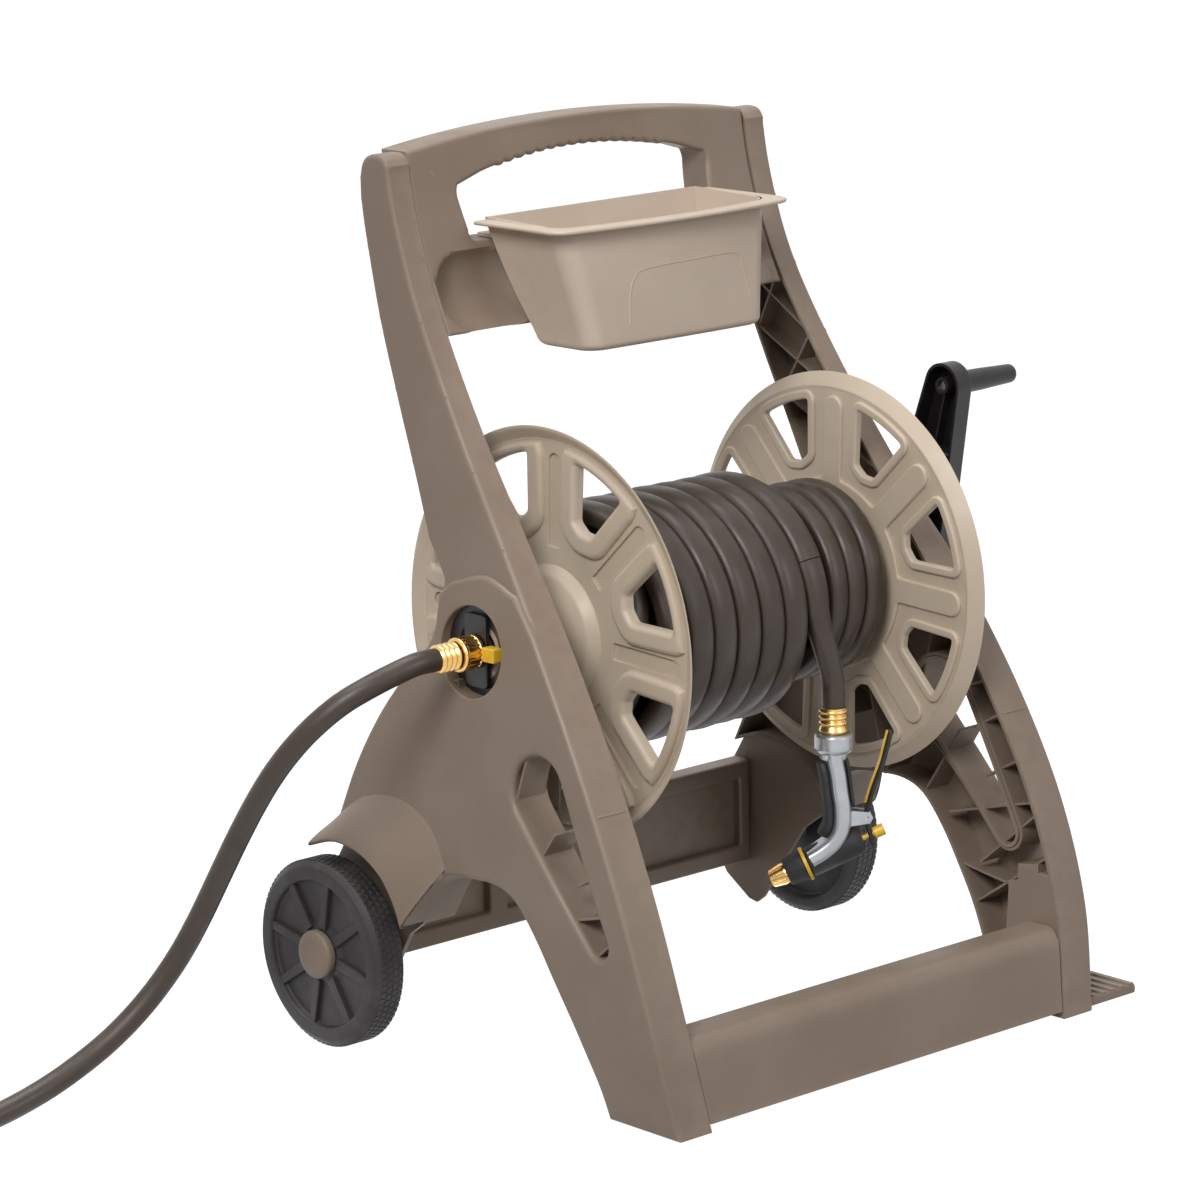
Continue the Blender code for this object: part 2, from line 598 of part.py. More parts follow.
def front_bar():
    """A channel with its front face in line with the legs, open at the back and below."""
    def line(z, inward):
        return (at_height(FRONT_LINE, z) + inward, z)
    face = [line(z, 0.0) for z in (0.007, 0.037, 0.062, 0.0725)]
    crown = [(-0.2492, 0.0800), (-0.2442, 0.0840), (-0.2365, 0.0850), (-0.217, 0.0850), (-0.2135, 0.0825),
             (-0.2135, 0.045)]
    back = [(-0.2165, 0.045), (-0.2165, 0.0810), (-0.2365, 0.0817), (-0.2430, 0.0800)]
    inner = [line(z, 0.0032) for z in (0.0725, 0.062, 0.037, 0.007)]
    bar = piece("bar_blank", slab(face + crown + back + inner, -BAR_HALF, BAR_HALF))
    ends = [slab([line(0.009, 0.001), (-0.2148, 0.009), (-0.2148, 0.0830), (-0.2425, 0.0830),
                  line(0.0655, 0.001), line(0.037, 0.001)],
                 side * (BAR_HALF - 0.0020) - 0.0017, side * (BAR_HALF - 0.0020) + 0.0017) for side in (-1, 1)]
    stays = [slab([line(0.027, 0.001), (-0.2150, 0.047), (-0.2150, 0.0830), (-0.2425, 0.0830),
                   line(0.0655, 0.001)], x - 0.00125, x + 0.00125) for x in steps(-0.16, 0.16, 2)]
    combine(bar, piece("bar_ends", merged(*ends, *stays)), "UNION")
    bm = evaluated_bmesh(bar)
    for v in bm.verts:
        if abs(v.co.x) > 0.2:
            v.co.x -= math.copysign((0.0945 - v.co.z) * BAR_SPLAY, v.co.x)
    made = piece("front_cross_bar", bm, "frame", cart)
    for side in (-1, 1):
        hole("bar_hole", made, (side * 0.2325 - 0.0125, -0.235, 0.055), 0.025, 0.0024)


def rear_beam():
    """A panelled beam between the axle plates, leaning back towards its foot."""
    low, high, front, rear = 0.064, 0.170, 0.187, 0.211
    beam = piece("beam_flat", box((-0.2537, front, low), (0.2537, rear, high)))
    cuts = []
    for a, b in ((-0.2487, -0.0875), (-0.0825, 0.0825), (0.0875, 0.2487)):
        cuts.append(box((a, front - 0.01, low + 0.006), (b, front + 0.010, high - 0.006)))
        cuts.append(box((a, rear - 0.010, low + 0.006), (b, rear + 0.01, high - 0.006)))
    cuts += [moved(rod(side * 0.240, side * 0.262, 0.0020, 12), (0, 0.199, 0.135)) for side in (-1, 1)]
    combine(beam, piece("beam_panels", merged(*cuts)))
    bm = evaluated_bmesh(beam)
    made = piece("rear_cross_beam", bm, "frame", cart)


front_bar()
rear_beam()
for side, word in ((-1, "left"), (1, "right")):
    seat_x = BAR_HALF - 0.0037 - (0.0945 - 0.055) * BAR_SPLAY - 0.0008
    screw("front_bar_screw_" + word, (side * seat_x, -0.235, 0.055), (side, 0, 0), 0.014, cart)
    seat_x = at_height(FRAME_OUTER, 0.135) - 0.0180 + 0.0006
    screw("rear_beam_screw_" + word, (side * seat_x, 0.199, 0.135), (-side, 0, 0), 0.0185, cart)


# Wheels, each on its own short pin with a snap-in cap

def wheel(word, side):
    axle = empty(word + "_axle", (0, AXLE_Y, WHEEL_R), cart)
    set_out = RIGHT_WHEEL_SET_OUT if side > 0 else 0.0
    i, o, cap_end = (side * (x + set_out) for x in (WHEEL_IN, WHEEL_OUT, CAP_OUT))
    hub = side * (WHEEL_IN + 0.0005)
    hub_tube = [(i + side * 0.0005, 0.0160)] if set_out else []
    tread = [(i, 0.0770), (i, 0.0835), (i + side * 0.006, WHEEL_R), (o - side * 0.006, WHEEL_R),
             (o, 0.0835), (o, 0.0715), (o - side * 0.0065, 0.0700), (o - side * 0.0065, 0.0300),
             (o - side * 0.004, 0.0240), (o - side * 0.004, 0.0069), (hub, 0.0069),
             (hub, 0.0160), *hub_tube, (i + side * 0.012, 0.0740)]
    rim = piece(word + "_wheel", turned(tread, 24, start=math.pi / 2), "tyre", axle)
    spokes = []
    for k in range(8):
        bar = box((min(o - side * 0.008, o - side * 0.0015), 0.0265, -0.0045),
                  (max(o - side * 0.008, o - side * 0.0015), 0.0725, 0.0045))
        bmesh.ops.rotate(bar, verts=bar.verts, matrix=Matrix.Rotation(math.pi * k / 4, 3, "X"))
        spokes.append(bar)
    combine(rim, piece(word + "_wheel_spokes", merged(*spokes), "tyre", axle), "UNION")
    cap = ((o - side * 0.0036, 0.0110), (o - side * 0.0036, 0.0236), (o + side * 0.0020, 0.0236),
           (o + side * 0.0052, 0.0215), (cap_end, 0.0170), (cap_end, 0), (o + side * 0.0035, 0),
           (o + side * 0.0035, 0.0110))
    piece(word + "_hub_cap", turned(cap, 12), "frame", axle)
    pin = ((side * 0.2680, 0), (side * 0.2670, 0.0052), (side * 0.2690, 0.0063), (o - side * 0.0036, 0.0063),
           (o - side * 0.0036, 0.0100), (o + side * 0.0008, 0.0092), (o + side * 0.0018, 0))
    piece(word + "_axle_pin", turned(pin, 10), "steel", cart, (0, AXLE_Y, WHEEL_R))


wheel("left", -1)
wheel("right", 1)


# Reel: two spoked flanges on a drum that splits in halves

SPOKES = 8
WINDOW_OUTER_R, WINDOW_INNER_R, WINDOW_SIDE = 0.1700, 0.1165, 0.0325
SPOKE_TURN = math.radians(2.4)
PAD_RISE, PAD_END = 0.0035, 0.1625
LIP_RISE = 0.0075


def window_outline(turn):
    """One five-sided window between two spokes, its V towards the hub."""
    half = math.pi / SPOKES
    outer = half - math.asin(WINDOW_SIDE / WINDOW_OUTER_R)
    inner = half - math.asin(WINDOW_SIDE / WINDOW_INNER_R)
    points = [(WINDOW_OUTER_R, a) for a in steps(-outer + 0.02, outer - 0.02, 2)]
    points += [(WINDOW_INNER_R, inner), (WINDOW_INNER_R - 0.0045, 0.0), (WINDOW_INNER_R, -inner)]
    return [(r * math.cos(a + turn), r * math.sin(a + turn)) for r, a in points]


def spoke_pad(turn, low, high, half=0.0125, start=0.0765):
    """The raised pad along a spoke, round at its outer end."""
    points = [(start, -half)] + arc((PAD_END, 0), half, -90, 90, 4) + [(start, half)]
    c, s = math.cos(turn), math.sin(turn)
    return slab([(x * c - y * s, x * s + y * c) for x, y in points], low, high)


def flange(name, plate, outward, hub_low, hub_high):
    """A spoked disc with its rolled rim and its hub, turned in one profile."""
    low, high = plate
    inner_face, outer_face = (high, low) if outward < 0 else (low, high)
    lip = outer_face + outward * LIP_RISE
    rim = [(inner_face, 0.1830), (lip, FLANGE_R), (lip, FLANGE_R - 0.0035), (outer_face, 0.1810)]
    bm = turned(hub_low + rim + hub_high, 30, start=0.06)
    body = piece(name, bm, "tan", reel_axis)
    turns = [SPOKE_TURN + 2 * math.pi * k / SPOKES for k in range(SPOKES)]
    pad_from, pad_to = (high - 0.001, high + PAD_RISE) if outward < 0 else (low - PAD_RISE, low + 0.001)
    for k, turn in enumerate(turns):
        pad = spoke_pad(turn, pad_from, pad_to)
        combine(body, piece("%s_pad_%d" % (name, k), pad, "tan", reel_axis), "UNION")
    if outward < 0:
        grooves = [spoke_pad(turn, low - 0.01, low + PAD_RISE - 0.0004, 0.0095, 0.0800) for turn in turns]
        combine(body, piece(name + "_grooves", merged(*grooves), "tan", reel_axis))
    windows = [slab(window_outline(turn + math.pi / SPOKES), low - 0.02, high + 0.02) for turn in turns]
    combine(body, piece(name + "_windows", merged(*windows), "tan", reel_axis))
    return body


low = LEFT_PLATE[0]
flange("left_flange", LEFT_PLATE, -1, [(LEFT_PLATE[1], 0.0170)],
       [(low, 0.0640), (low - 0.010, 0.0580), (low - 0.024, 0.0280), (-0.2560, 0.0280),
        (-0.2560, 0.0170)])
high = RIGHT_PLATE[1]
right_flange = flange("right_flange", RIGHT_PLATE, 1, [(RIGHT_PLATE[0], 0)],
                      [(high, 0.0640), (high + 0.008, 0.0580), (high + 0.018, 0.0280), (0.2620, 0.0280),
                       (0.2620, 0)])
DRIVE_HALF, DRIVE_END = 0.0110, 0.2960
drive = box((0.2600, -DRIVE_HALF, -DRIVE_HALF), (DRIVE_END, DRIVE_HALF, DRIVE_HALF))
combine(right_flange, piece("drive_square", drive, "tan", reel_axis), "UNION")
combine(right_flange, piece("drive_pilot", rod(0.270, 0.310, 0.0022, 12), "tan", reel_axis))

DRUM_R = 0.0500
DRUM_LOW, DRUM_HIGH = LEFT_PLATE[1] + GAP, RIGHT_PLATE[0] - GAP


def drum_half(name, upper):
    start = math.degrees(math.asin(GAP / DRUM_R))
    outer = arc((0, 0), DRUM_R, start, 180 - start, 12)
    inner = arc((0, 0), DRUM_R - 0.004, 180 - start, start, 12)
    flip = 1 if upper else -1
    piece(name, slab([(y, flip * z) for y, z in outer + inner], DRUM_LOW, DRUM_HIGH), "tan", reel_axis)


drum_half("drum_upper_half", True)
drum_half("drum_lower_half", False)
piece("hose_core", ring(DRUM_LOW + 0.0002, DRUM_HIGH - 0.0002, DRUM_R + 2 * GAP, 0.0672, 24), "hose", reel_axis)

elbow_x = -0.100
outlet = piece("outlet_elbow", turned(((-0.2460, 0.0130), (-0.2460, 0.0165), (-0.1500, 0.0165), (-0.1440, 0.0120),
                                       (elbow_x + 0.012, 0.0120), (elbow_x + 0.012, 0), (elbow_x + 0.004, 0),
                                       (elbow_x + 0.004, 0.0070), (-0.2000, 0.0070), (-0.2050, 0.0130)), 14),
               "black", reel_axis)
spout = moved(rod(0.006, 0.0400, 0.0095, 10, "Z"), (elbow_x, 0, 0))
combine(outlet, piece("outlet_spout", spout, "black", reel_axis), "UNION")
bore = moved(rod(0.0, 0.06, 0.0060, 8, "Z"), (elbow_x, 0, 0))
combine(outlet, piece("outlet_bore", bore, "black", reel_axis))
nut = moved(turned(((0.0280, 0.0115), (0.0280, 0.0150), (0.0395, 0.0150), (0.0395, 0.0115)), 6, "Z"), (elbow_x, 0, 0))
piece("drum_hose_nut", nut, "brass", reel_axis)


# Winding: one hose, wound back over itself

def hanging(z):
    """The free end's centre line at a height: slanting at first, plumb at its foot."""
    t = min((AXIS_Z - z) / (AXIS_Z - TAIL_PLUMB_Z), 1.0)
    return Vector((OFF_X + (TAIL_X - OFF_X) * t, -WOUND_R + (TAIL_Y + WOUND_R) * t, z))


def winding_points():
    """From the right flange to the left on the lower layer, then up half a turn and
    back on the outer layer to where the hose leaves the reel."""
    left, right = WINDING_X
    climbed = left + (OFF_X - left) * 0.5 / OUTER_TURNS
    spans = ((UNDER_SHOWN_TURNS, right, SHOWN_TO_X, UNDER_R, UNDER_R),
             (UNDER_HIDDEN_TURNS, SHOWN_TO_X, left, UNDER_R, UNDER_R),
             (0.5, left, climbed, UNDER_R, WOUND_R),
             (OUTER_TURNS - 0.5, climbed, OFF_X, WOUND_R, WOUND_R))
    points, turn = [Vector((right, UNDER_R + 0.0040, -2 * HOSE_R))], 0.0
    for turns, x0, x1, r0, r1 in spans:
        count = round(turns * LOOP_POINTS)
        for k in range(count):
            t = k / count
            ease = t * t * (3 - 2 * t)
            a = 2 * math.pi * (turn + turns * t)
            r = r0 + (r1 - r0) * ease
            points.append(Vector((x0 + (x1 - x0) * t, r * math.cos(a), r * math.sin(a))))
        turn += turns
    points.append(Vector((OFF_X, -WOUND_R, 0)))
    points.append(hanging(TAIL_TOP_Z + GAP) - Vector((0, 0, AXIS_Z)))
    return points


def least_gap(points, radius):
    """Smallest clear distance between stretches of the hose that aren't neighbours."""
    skip = LOOP_POINTS // 2
    least = 1.0
    for i in range(len(points) - 1):
        a, b = points[i], points[i + 1]
        for j in range(i + skip, min(i + 40 * LOOP_POINTS, len(points))):
            p = points[j]
            t = min(max((p - a).dot(b - a) / (b - a).length_squared, 0.0), 1.0)
            least = min(least, (p - a.lerp(b, t)).length)
    return least - 2 * radius


winding = winding_points()
tube("hose_winding", winding, WOUND_HOSE_R, "hose", 1, reel_axis)
print("least gap in the winding, mm:", round(least_gap(winding, WOUND_HOSE_R) * 1000, 2))


# Crank, leaning forwards, with a grip that turns on its pin

CRANK_TIP = Vector((0.310, -0.047, 0.174))
ARM_LOW, ARM_HIGH = 0.2960, 0.3160


def arm_outline(shrink):
    tip = Vector((CRANK_TIP.y, CRANK_TIP.z))
    run = tip.length
    heading = math.degrees(math.atan2(tip.y, tip.x))
    r0, r1 = 0.0400 - shrink, 0.0225 - shrink
    lean = math.degrees(math.acos((r0 - r1) / run))
    return arc(tip, r1, heading - lean, heading + lean, 6) + arc((0, 0), r0, heading + lean, heading - lean + 360, 9)


arm = piece("crank_arm", slab(arm_outline(0), ARM_LOW, ARM_HIGH), "black", reel_axis)
arm_pocket = piece("arm_pocket", slab(arm_outline(0.003), ARM_LOW - 0.01, ARM_HIGH - 0.0035), "black", reel_axis)
combine(arm_pocket, piece("arm_hub", rod(0.26, 0.33, 0.0215, 16), "black", reel_axis))
tip_boss = moved(rod(0.26, 0.33, 0.0085, 12), (0, CRANK_TIP.y, CRANK_TIP.z))
combine(arm_pocket, piece("arm_tip_boss", tip_boss, "black", reel_axis))
ARM_AT = CRANK_TIP.yz.normalized()
ARM_SIDE = Vector((ARM_AT.y, -ARM_AT.x))
for k, reach in enumerate((0.070, 0.115)):
    centre = ARM_AT * reach
    ends = (centre - ARM_SIDE * 0.045, centre + ARM_SIDE * 0.045)
    combine(arm_pocket, piece("arm_rib_%d" % k, rib(*ends, 0.0022, ARM_LOW + 0.003, 0.34), "black", reel_axis))
combine(arm, arm_pocket)
combine(arm, piece("arm_hub_sleeve", rod(0.2740, ARM_LOW + 0.001, 0.0215, 16), "black", reel_axis), "UNION")
drive_room = DRIVE_HALF + GAP
combine(arm, piece("arm_socket", box((0.26, -drive_room, -drive_room), (0.3000, drive_room, drive_room)), "black",
                   reel_axis))
combine(arm, piece("arm_screw_hole", rod(0.28, 0.34, 0.0026, 10), "black", reel_axis))
combine(arm, piece("arm_pin_hole", moved(rod(0.28, 0.34, 0.0047, 12), (0, CRANK_TIP.y, CRANK_TIP.z)), "black",
                   reel_axis))
combine(arm, piece("arm_hang_hole", moved(box((0.28, -0.003, -0.0035), (0.34, 0.003, 0.0035)),
                                          (0, ARM_AT.x * 0.150 + 0.0045, ARM_AT.y * 0.150)), "black", reel_axis))
screw("crank_screw", (ARM_HIGH + 0.0003, 0, 0), (-1, 0, 0), 0.040, reel_axis, 0.0065)

grip_axis = empty("grip_axis", (0, CRANK_TIP.y, CRANK_TIP.z), reel_axis)
pin_profile = ((ARM_LOW + 0.0030, 0), (ARM_LOW + 0.0030, 0.0042), (0.3838, 0.0042), (0.3840, 0.0068), (0.3870, 0.0060),
               (0.3870, 0))
piece("crank_pin", turned(pin_profile, 14), "steel", reel_axis, (0, CRANK_TIP.y, CRANK_TIP.z))
grip_profile = ((ARM_HIGH + 0.0006, 0.0046), (ARM_HIGH + 0.0006, 0.0108), (ARM_HIGH + 0.006, 0.0116),
                (GRIP_OUT - 0.008, 0.0104), (GRIP_OUT - 0.002, 0.0092), (GRIP_OUT, 0.0080), (GRIP_OUT, 0.0072),
                (0.3836, 0.0072), (0.3836, 0.0046))
piece("crank_grip", turned(grip_profile, 12), "black", grip_axis)


# Bearings and the water inlet on the left

piece("left_bushing", ring(-0.2600, -0.2390, 0.0284, BUSHING_R, 24),
      "black", cart, (0, 0, AXIS_Z))
piece("right_bushing", ring(0.2390, 0.2610, 0.0284, BUSHING_R, 24),
      "black", cart, (0, 0, AXIS_Z))
inlet = piece("inlet_body", turned(((-0.2860, 0.0070), (-0.2860, 0.0118), (-0.2640, 0.0118), (-0.2640, 0.0150),
                                    (-0.2600, 0.0165), (-0.2565, 0.0165), (-0.2565, 0.0125), (-0.2470, 0.0125),
                                    (-0.2470, 0.0096), (-0.2050, 0.0096), (-0.2050, 0.0070)), 14),
              "black", cart, (0, 0, AXIS_Z))
ears = box((-0.2650, -0.0150, -0.0345), (-0.2604, 0.0150, 0.0345))
ear_hole = rod(-0.27, -0.25, 0.0100, 12)
ears_piece = piece("inlet_ears", ears, "black", cart, (0, 0, AXIS_Z))
combine(ears_piece, piece("inlet_ears_hole", ear_hole, "black", cart, (0, 0, AXIS_Z)))
combine(inlet, ears_piece, "UNION")
piece("inlet_clip", box((-0.2720, -0.0330, -0.0060), (-0.2604, -0.0168, 0.0075)), "yellow", cart, (0, 0, AXIS_Z))
for k, x in enumerate((-0.2240, -0.2160)):
    piece("inlet_seal_%s" % ("outer", "inner")[k],
          turned([(x + 0.0012 * math.cos(a), 0.0112 + 0.0012 * math.sin(a))
                  for a in (2 * math.pi * i / 5 for i in range(5))], 12), "rubber", cart, (0, 0, AXIS_Z))


def coupling_nut(x0, x1, bore, radius, sides=12):
    return turned(((x0, bore), (x0, radius * 0.94), (x0 + 0.0015, radius), (x1 - 0.0015, radius), (x1, radius * 0.94),
                   (x1, bore)), sides)


def ribbed_ferrule(x0, x1, core, crest, count, bore):
    """A brass sleeve with round crests, from x0 to x1, over the hose's tailpiece."""
    profile = [(x0, bore), (x0, core)]
    for k in range(count):
        a = x0 + (x1 - x0) * (k + 0.25) / count
        b = x0 + (x1 - x0) * (k + 0.70) / count
        profile += [(a, crest), (b, crest), (x0 + (x1 - x0) * (k + 1) / count, core)]
    profile += [(x1, bore)]
    return turned(profile, 12)


piece("leader_coupling", coupling_nut(-0.2890, -0.2656, 0.0124, 0.0162), "brass", cart, (0, 0, AXIS_Z))
piece("leader_washer", ring(-0.2885, -0.2863, 0.0070, 0.0117, 12), "rubber", cart, (0, 0, AXIS_Z))
piece("leader_ferrule", ribbed_ferrule(-0.3130, -0.2893, 0.0112, 0.0135, 2, 0.0060), "brass", cart,
      (0, 0, AXIS_Z))


# Leader hose: sags to the ground and ends in a neat coil with its tap coupling

leader_points = even_points(LEADER_ROUTE, 2.4 * 2 * HOSE_R)
leader_points[0] = Vector(LEADER_ROUTE[0])
leader_points.insert(1, Vector((LEADER_ROUTE[0][0] - 2 * HOSE_R, 0.0, 0.4045)))
leader_points[0].z = leader_points[1].z = AXIS_Z
tube("leader_hose", leader_points, HOSE_R, "hose", 2, cart)


def coil_point(degrees):
    a = math.radians(90 + degrees)
    r = COIL_R[0] + (COIL_R[1] - COIL_R[0]) * degrees / COIL_TURN
    t = max(0.0, (degrees - COIL_LIFT_FROM) / (COIL_TURN - COIL_LIFT_FROM))
    z = GROUND_HOSE_Z + (TAP_END_Z - GROUND_HOSE_Z) * t * t * (3 - 2 * t)
    return Vector((COIL_CENTRE[0] + r * math.cos(a), COIL_CENTRE[1] + r * math.sin(a), z))


coil_points = [Vector(LEADER_ROUTE[-1]) + Vector((-GAP, 0, 0))]
coil_points += [coil_point(d) for d in steps(0, COIL_TURN, round(LOOP_POINTS * COIL_TURN / 360))]
coil_way = coil_point(COIL_TURN) - coil_point(COIL_TURN - 2)
coil_way.z = 0.0
coil_way.normalize()
coil_points.append(coil_points[-1] + coil_way * 2 * HOSE_R)
tube("leader_coil", coil_points, HOSE_R, "hose", 1, cart)
tap_spot = coil_points[-1] + coil_way * GAP
tap_turn = Vector((-1, 0, 0)).rotation_difference(coil_way).to_euler()
tap_axis = empty("tap_axis", tap_spot, cart, tap_turn)
piece("tap_ferrule", ribbed_ferrule(-0.0240, 0.0, 0.0112, 0.0135, 2, 0.0060), "brass", tap_axis)
piece("tap_coupling", coupling_nut(-0.0500, -0.0243, 0.0124, 0.0162), "brass", tap_axis)


# Hose tail and the spray nozzle that hangs from it

tail_points = [hanging(z) for z in (TAIL_TOP_Z, TAIL_PLUMB_Z, TAIL_FOOT_Z)]
tube("hose_tail", tail_points, HOSE_R, "hose", 2, cart)
NOZZLE_TURN = math.radians(38)
nozzle = empty("nozzle_frame", (TAIL_X, TAIL_Y, 0), cart, (0, 0, -NOZZLE_TURN))


def upright(name, profile, sides, kind):
    return piece(name, turned(profile, sides, "Z"), kind, nozzle)


upright("tail_ferrule", ((0.2812, 0.0060), (0.2812, 0.0128), (0.2840, 0.0142), (0.2885, 0.0118), (0.2920, 0.0138),
                         (0.2955, 0.0118), (0.3000, 0.0138), (0.3060, 0.0118),
                         (0.3060, 0.0060)), 12, "brass")
upright("nozzle_collar", ((0.2625, 0.0070), (0.2625, 0.0160), (0.2660, 0.0185), (0.2790, 0.0185), (0.2809, 0.0165),
                          (0.2809, 0.0070)), 12, "silver")
NORMAL = Vector((0, 1, 0))
HANDLE_PATH = ((0.0000, 0.2620), (0.0000, 0.2560), (0.0025, 0.2420), (0.0045, 0.2250), (0.0065, 0.2085),
               (0.0055, 0.1900), (-0.0010, 0.1760), (-0.0115, 0.1665), (-0.0240, 0.1590))
BARREL_WAY = Vector((-0.9215, 0, -0.3884))
BARREL_TAIL = Vector((0.0300, 0, 0.1778))


def in_plane(points):
    return [Vector((h, 0, z)) for h, z in points]


def band(low, high, half_thick):
    """A strip of the handle's section with its corners taken off."""
    bevel, side = (high - low) * 0.1, half_thick * 0.6
    return ((low, -side), (low + bevel, -half_thick), (high - bevel, -half_thick), (high, -side),
            (high, side), (high - bevel, half_thick), (low + bevel, half_thick), (low, side))


def along_barrel(profile, sides):
    bm = turned(profile, sides)
    bmesh.ops.rotate(bm, verts=bm.verts, matrix=Vector((1, 0, 0)).rotation_difference(BARREL_WAY).to_matrix())
    return moved(bm, BARREL_TAIL)


body = piece("nozzle_body", swept(in_plane(HANDLE_PATH), band(-0.0090, 0.0090, 0.0156), NORMAL), "silver", nozzle)
barrel = along_barrel(((0.0042, 0), (0.0042, 0.0105), (0.0100, 0.0142), (0.0570, 0.0148), (0.0608, 0.0140),
                       (0.0608, 0)), 14)
combine(body, piece("nozzle_barrel", barrel, "silver", nozzle), "UNION")
EAR = ((0.012, 0.190), (0.033, 0.1925), (0.036, 0.198), (0.033, 0.2035), (0.012, 0.206))
for k, (n0, n1) in enumerate(((-0.0088, -0.0060), (0.0060, 0.0088))):
    combine(body, piece("lever_ear_%d" % k, slab(EAR, n0, n1, "Y"), "silver", nozzle), "UNION")
stem_bore = along_barrel(((-0.03, 0), (-0.03, 0.0032), (0.050, 0.0032), (0.050, 0)), 10)
combine(body, piece("nozzle_stem_bore", stem_bore, "silver", nozzle))
combine(body, piece("lever_pin_bore", moved(rod(-0.02, 0.02, 0.0022, 10, "Y"), (0.030, 0, 0.198)), "silver", nozzle))
piece("nozzle_front_pad", swept(in_plane(HANDLE_PATH), band(-0.0175, -0.0093, 0.0140), NORMAL, (1, 6)), "black", nozzle)
piece("nozzle_rear_pad", swept(in_plane(HANDLE_PATH), band(0.0093, 0.0130, 0.0130), NORMAL, (1, 4)), "black", nozzle)
piece("spray_ring", along_barrel(((0.0611, 0.0060), (0.0611, 0.0168), (0.0645, 0.0168), (0.0645, 0.0060)), 14),
      "yellow", nozzle)
piece("spray_bezel", along_barrel(((0.0648, 0.0105), (0.0648, 0.0152), (0.0670, 0.0158), (0.0820, 0.0132),
                                   (0.0835, 0.0122), (0.0835, 0.0105)), 12), "black", nozzle)
piece("spray_tip", along_barrel(((0.0655, 0), (0.0655, 0.0101), (0.0850, 0.0101), (0.0990, 0.0078), (0.1000, 0.0068),
                                 (0.0970, 0.0050), (0.0950, 0)), 12), "brass", nozzle)
piece("valve_stem", along_barrel(((-0.0185, 0), (-0.0185, 0.0058), (-0.0078, 0.0058), (-0.0078, 0.0026),
                                  (0.0400, 0.0026), (0.0400, 0)), 10), "yellow", nozzle)

LEVER_PIVOT = Vector((0.0300, 0, 0.1980))
LEVER_PATH = ((0.0365, 0.1700), (0.0340, 0.1795), (0.0310, 0.1890), (0.0300, 0.1980), (0.0325, 0.2110),
              (0.0375, 0.2270), (0.0460, 0.2500), (0.0500, 0.2650), (0.0540, 0.2800))


def lever_section(t):
    half_thick = 0.0054 if t < 0.52 else 0.0080
    return ((-0.0022, -half_thick), (0.0022, -half_thick), (0.0022, half_thick), (-0.0022, half_thick))


lever_axis = empty("lever_axis", LEVER_PIVOT, nozzle)
lever_line = [p - LEVER_PIVOT for p in in_plane(LEVER_PATH)]
lever = piece("nozzle_lever", swept(lever_line, lever_section, NORMAL), "black", lever_axis)
combine(lever, piece("lever_knuckle", rod(-0.0048, 0.0048, 0.0042, 12, "Y"), "black", lever_axis), "UNION")
combine(lever, piece("lever_bore", rod(-0.02, 0.02, 0.0023, 10, "Y"), "black", lever_axis))
fork = box((-0.01, -0.0032, -0.04), (0.02, 0.0032, -0.0130))
combine(lever, piece("lever_fork", fork, "black", lever_axis))
trim_section = ((0.0025, -0.0040), (0.0042, -0.0040), (0.0042, 0.0040), (0.0025, 0.0040))
piece("lever_trim", swept(lever_line, trim_section, NORMAL, (4, 9)), "yellow", lever_axis)
piece("lever_pin", rod(-0.0088, 0.0088, 0.0019, 10, "Y"), "steel", nozzle, LEVER_PIVOT)


# Tool bin, bowed at the front, with a rim and a lip that sits over the hand hole's sill

BIN_TOP, BIN_FLOOR = 0.7730, 0.6575
RIM_OUT = 0.0166
BIN_PLUMB = 0.0120              # the walls stand plumb this high above the floor


def bin_section(z, grow):
    """Plan of the bin at a height: straight back, bowed front, round corners."""
    low = BIN_FLOOR + BIN_PLUMB
    t = max(0.0, (z - low) / (BIN_TOP - low))
    half = 0.113 + 0.0205 * t + grow
    back = at_height(FRONT_LINE, z) - 0.0005 + min(grow, 0.0)
    front = 0.003 + 0.005 * t - grow
    bow = 0.001 + 0.009 * t
    corner = 0.018 + 0.004 * t
    left = [(-half, back)]
    left += [(-half + corner * (1 - math.cos(a)), front + bow + corner * (1 - math.sin(a)))
             for a in steps(0.0, math.pi / 2, 4)]
    middle = [(x, front + bow * (x / (half - corner)) ** 2) for x in steps(-half + corner, half - corner, 6)[1:-1]]
    return left + middle + [(-x, y) for x, y in left[::-1]]


def bin_shell(levels, grow):
    bm = bmesh.new()
    rings = [[bm.verts.new((x, y, z)) for x, y in bin_section(z, grow)] for z in levels]
    bm.faces.new(rings[0])
    bm.faces.new(rings[-1])
    count = len(rings[0])
    for one, two in zip(rings, rings[1:]):
        for k in range(count):
            n = (k + 1) % count
            bm.faces.new((one[k], one[n], two[n], two[k]))
    bmesh.ops.recalc_face_normals(bm, faces=bm.faces)
    return bm


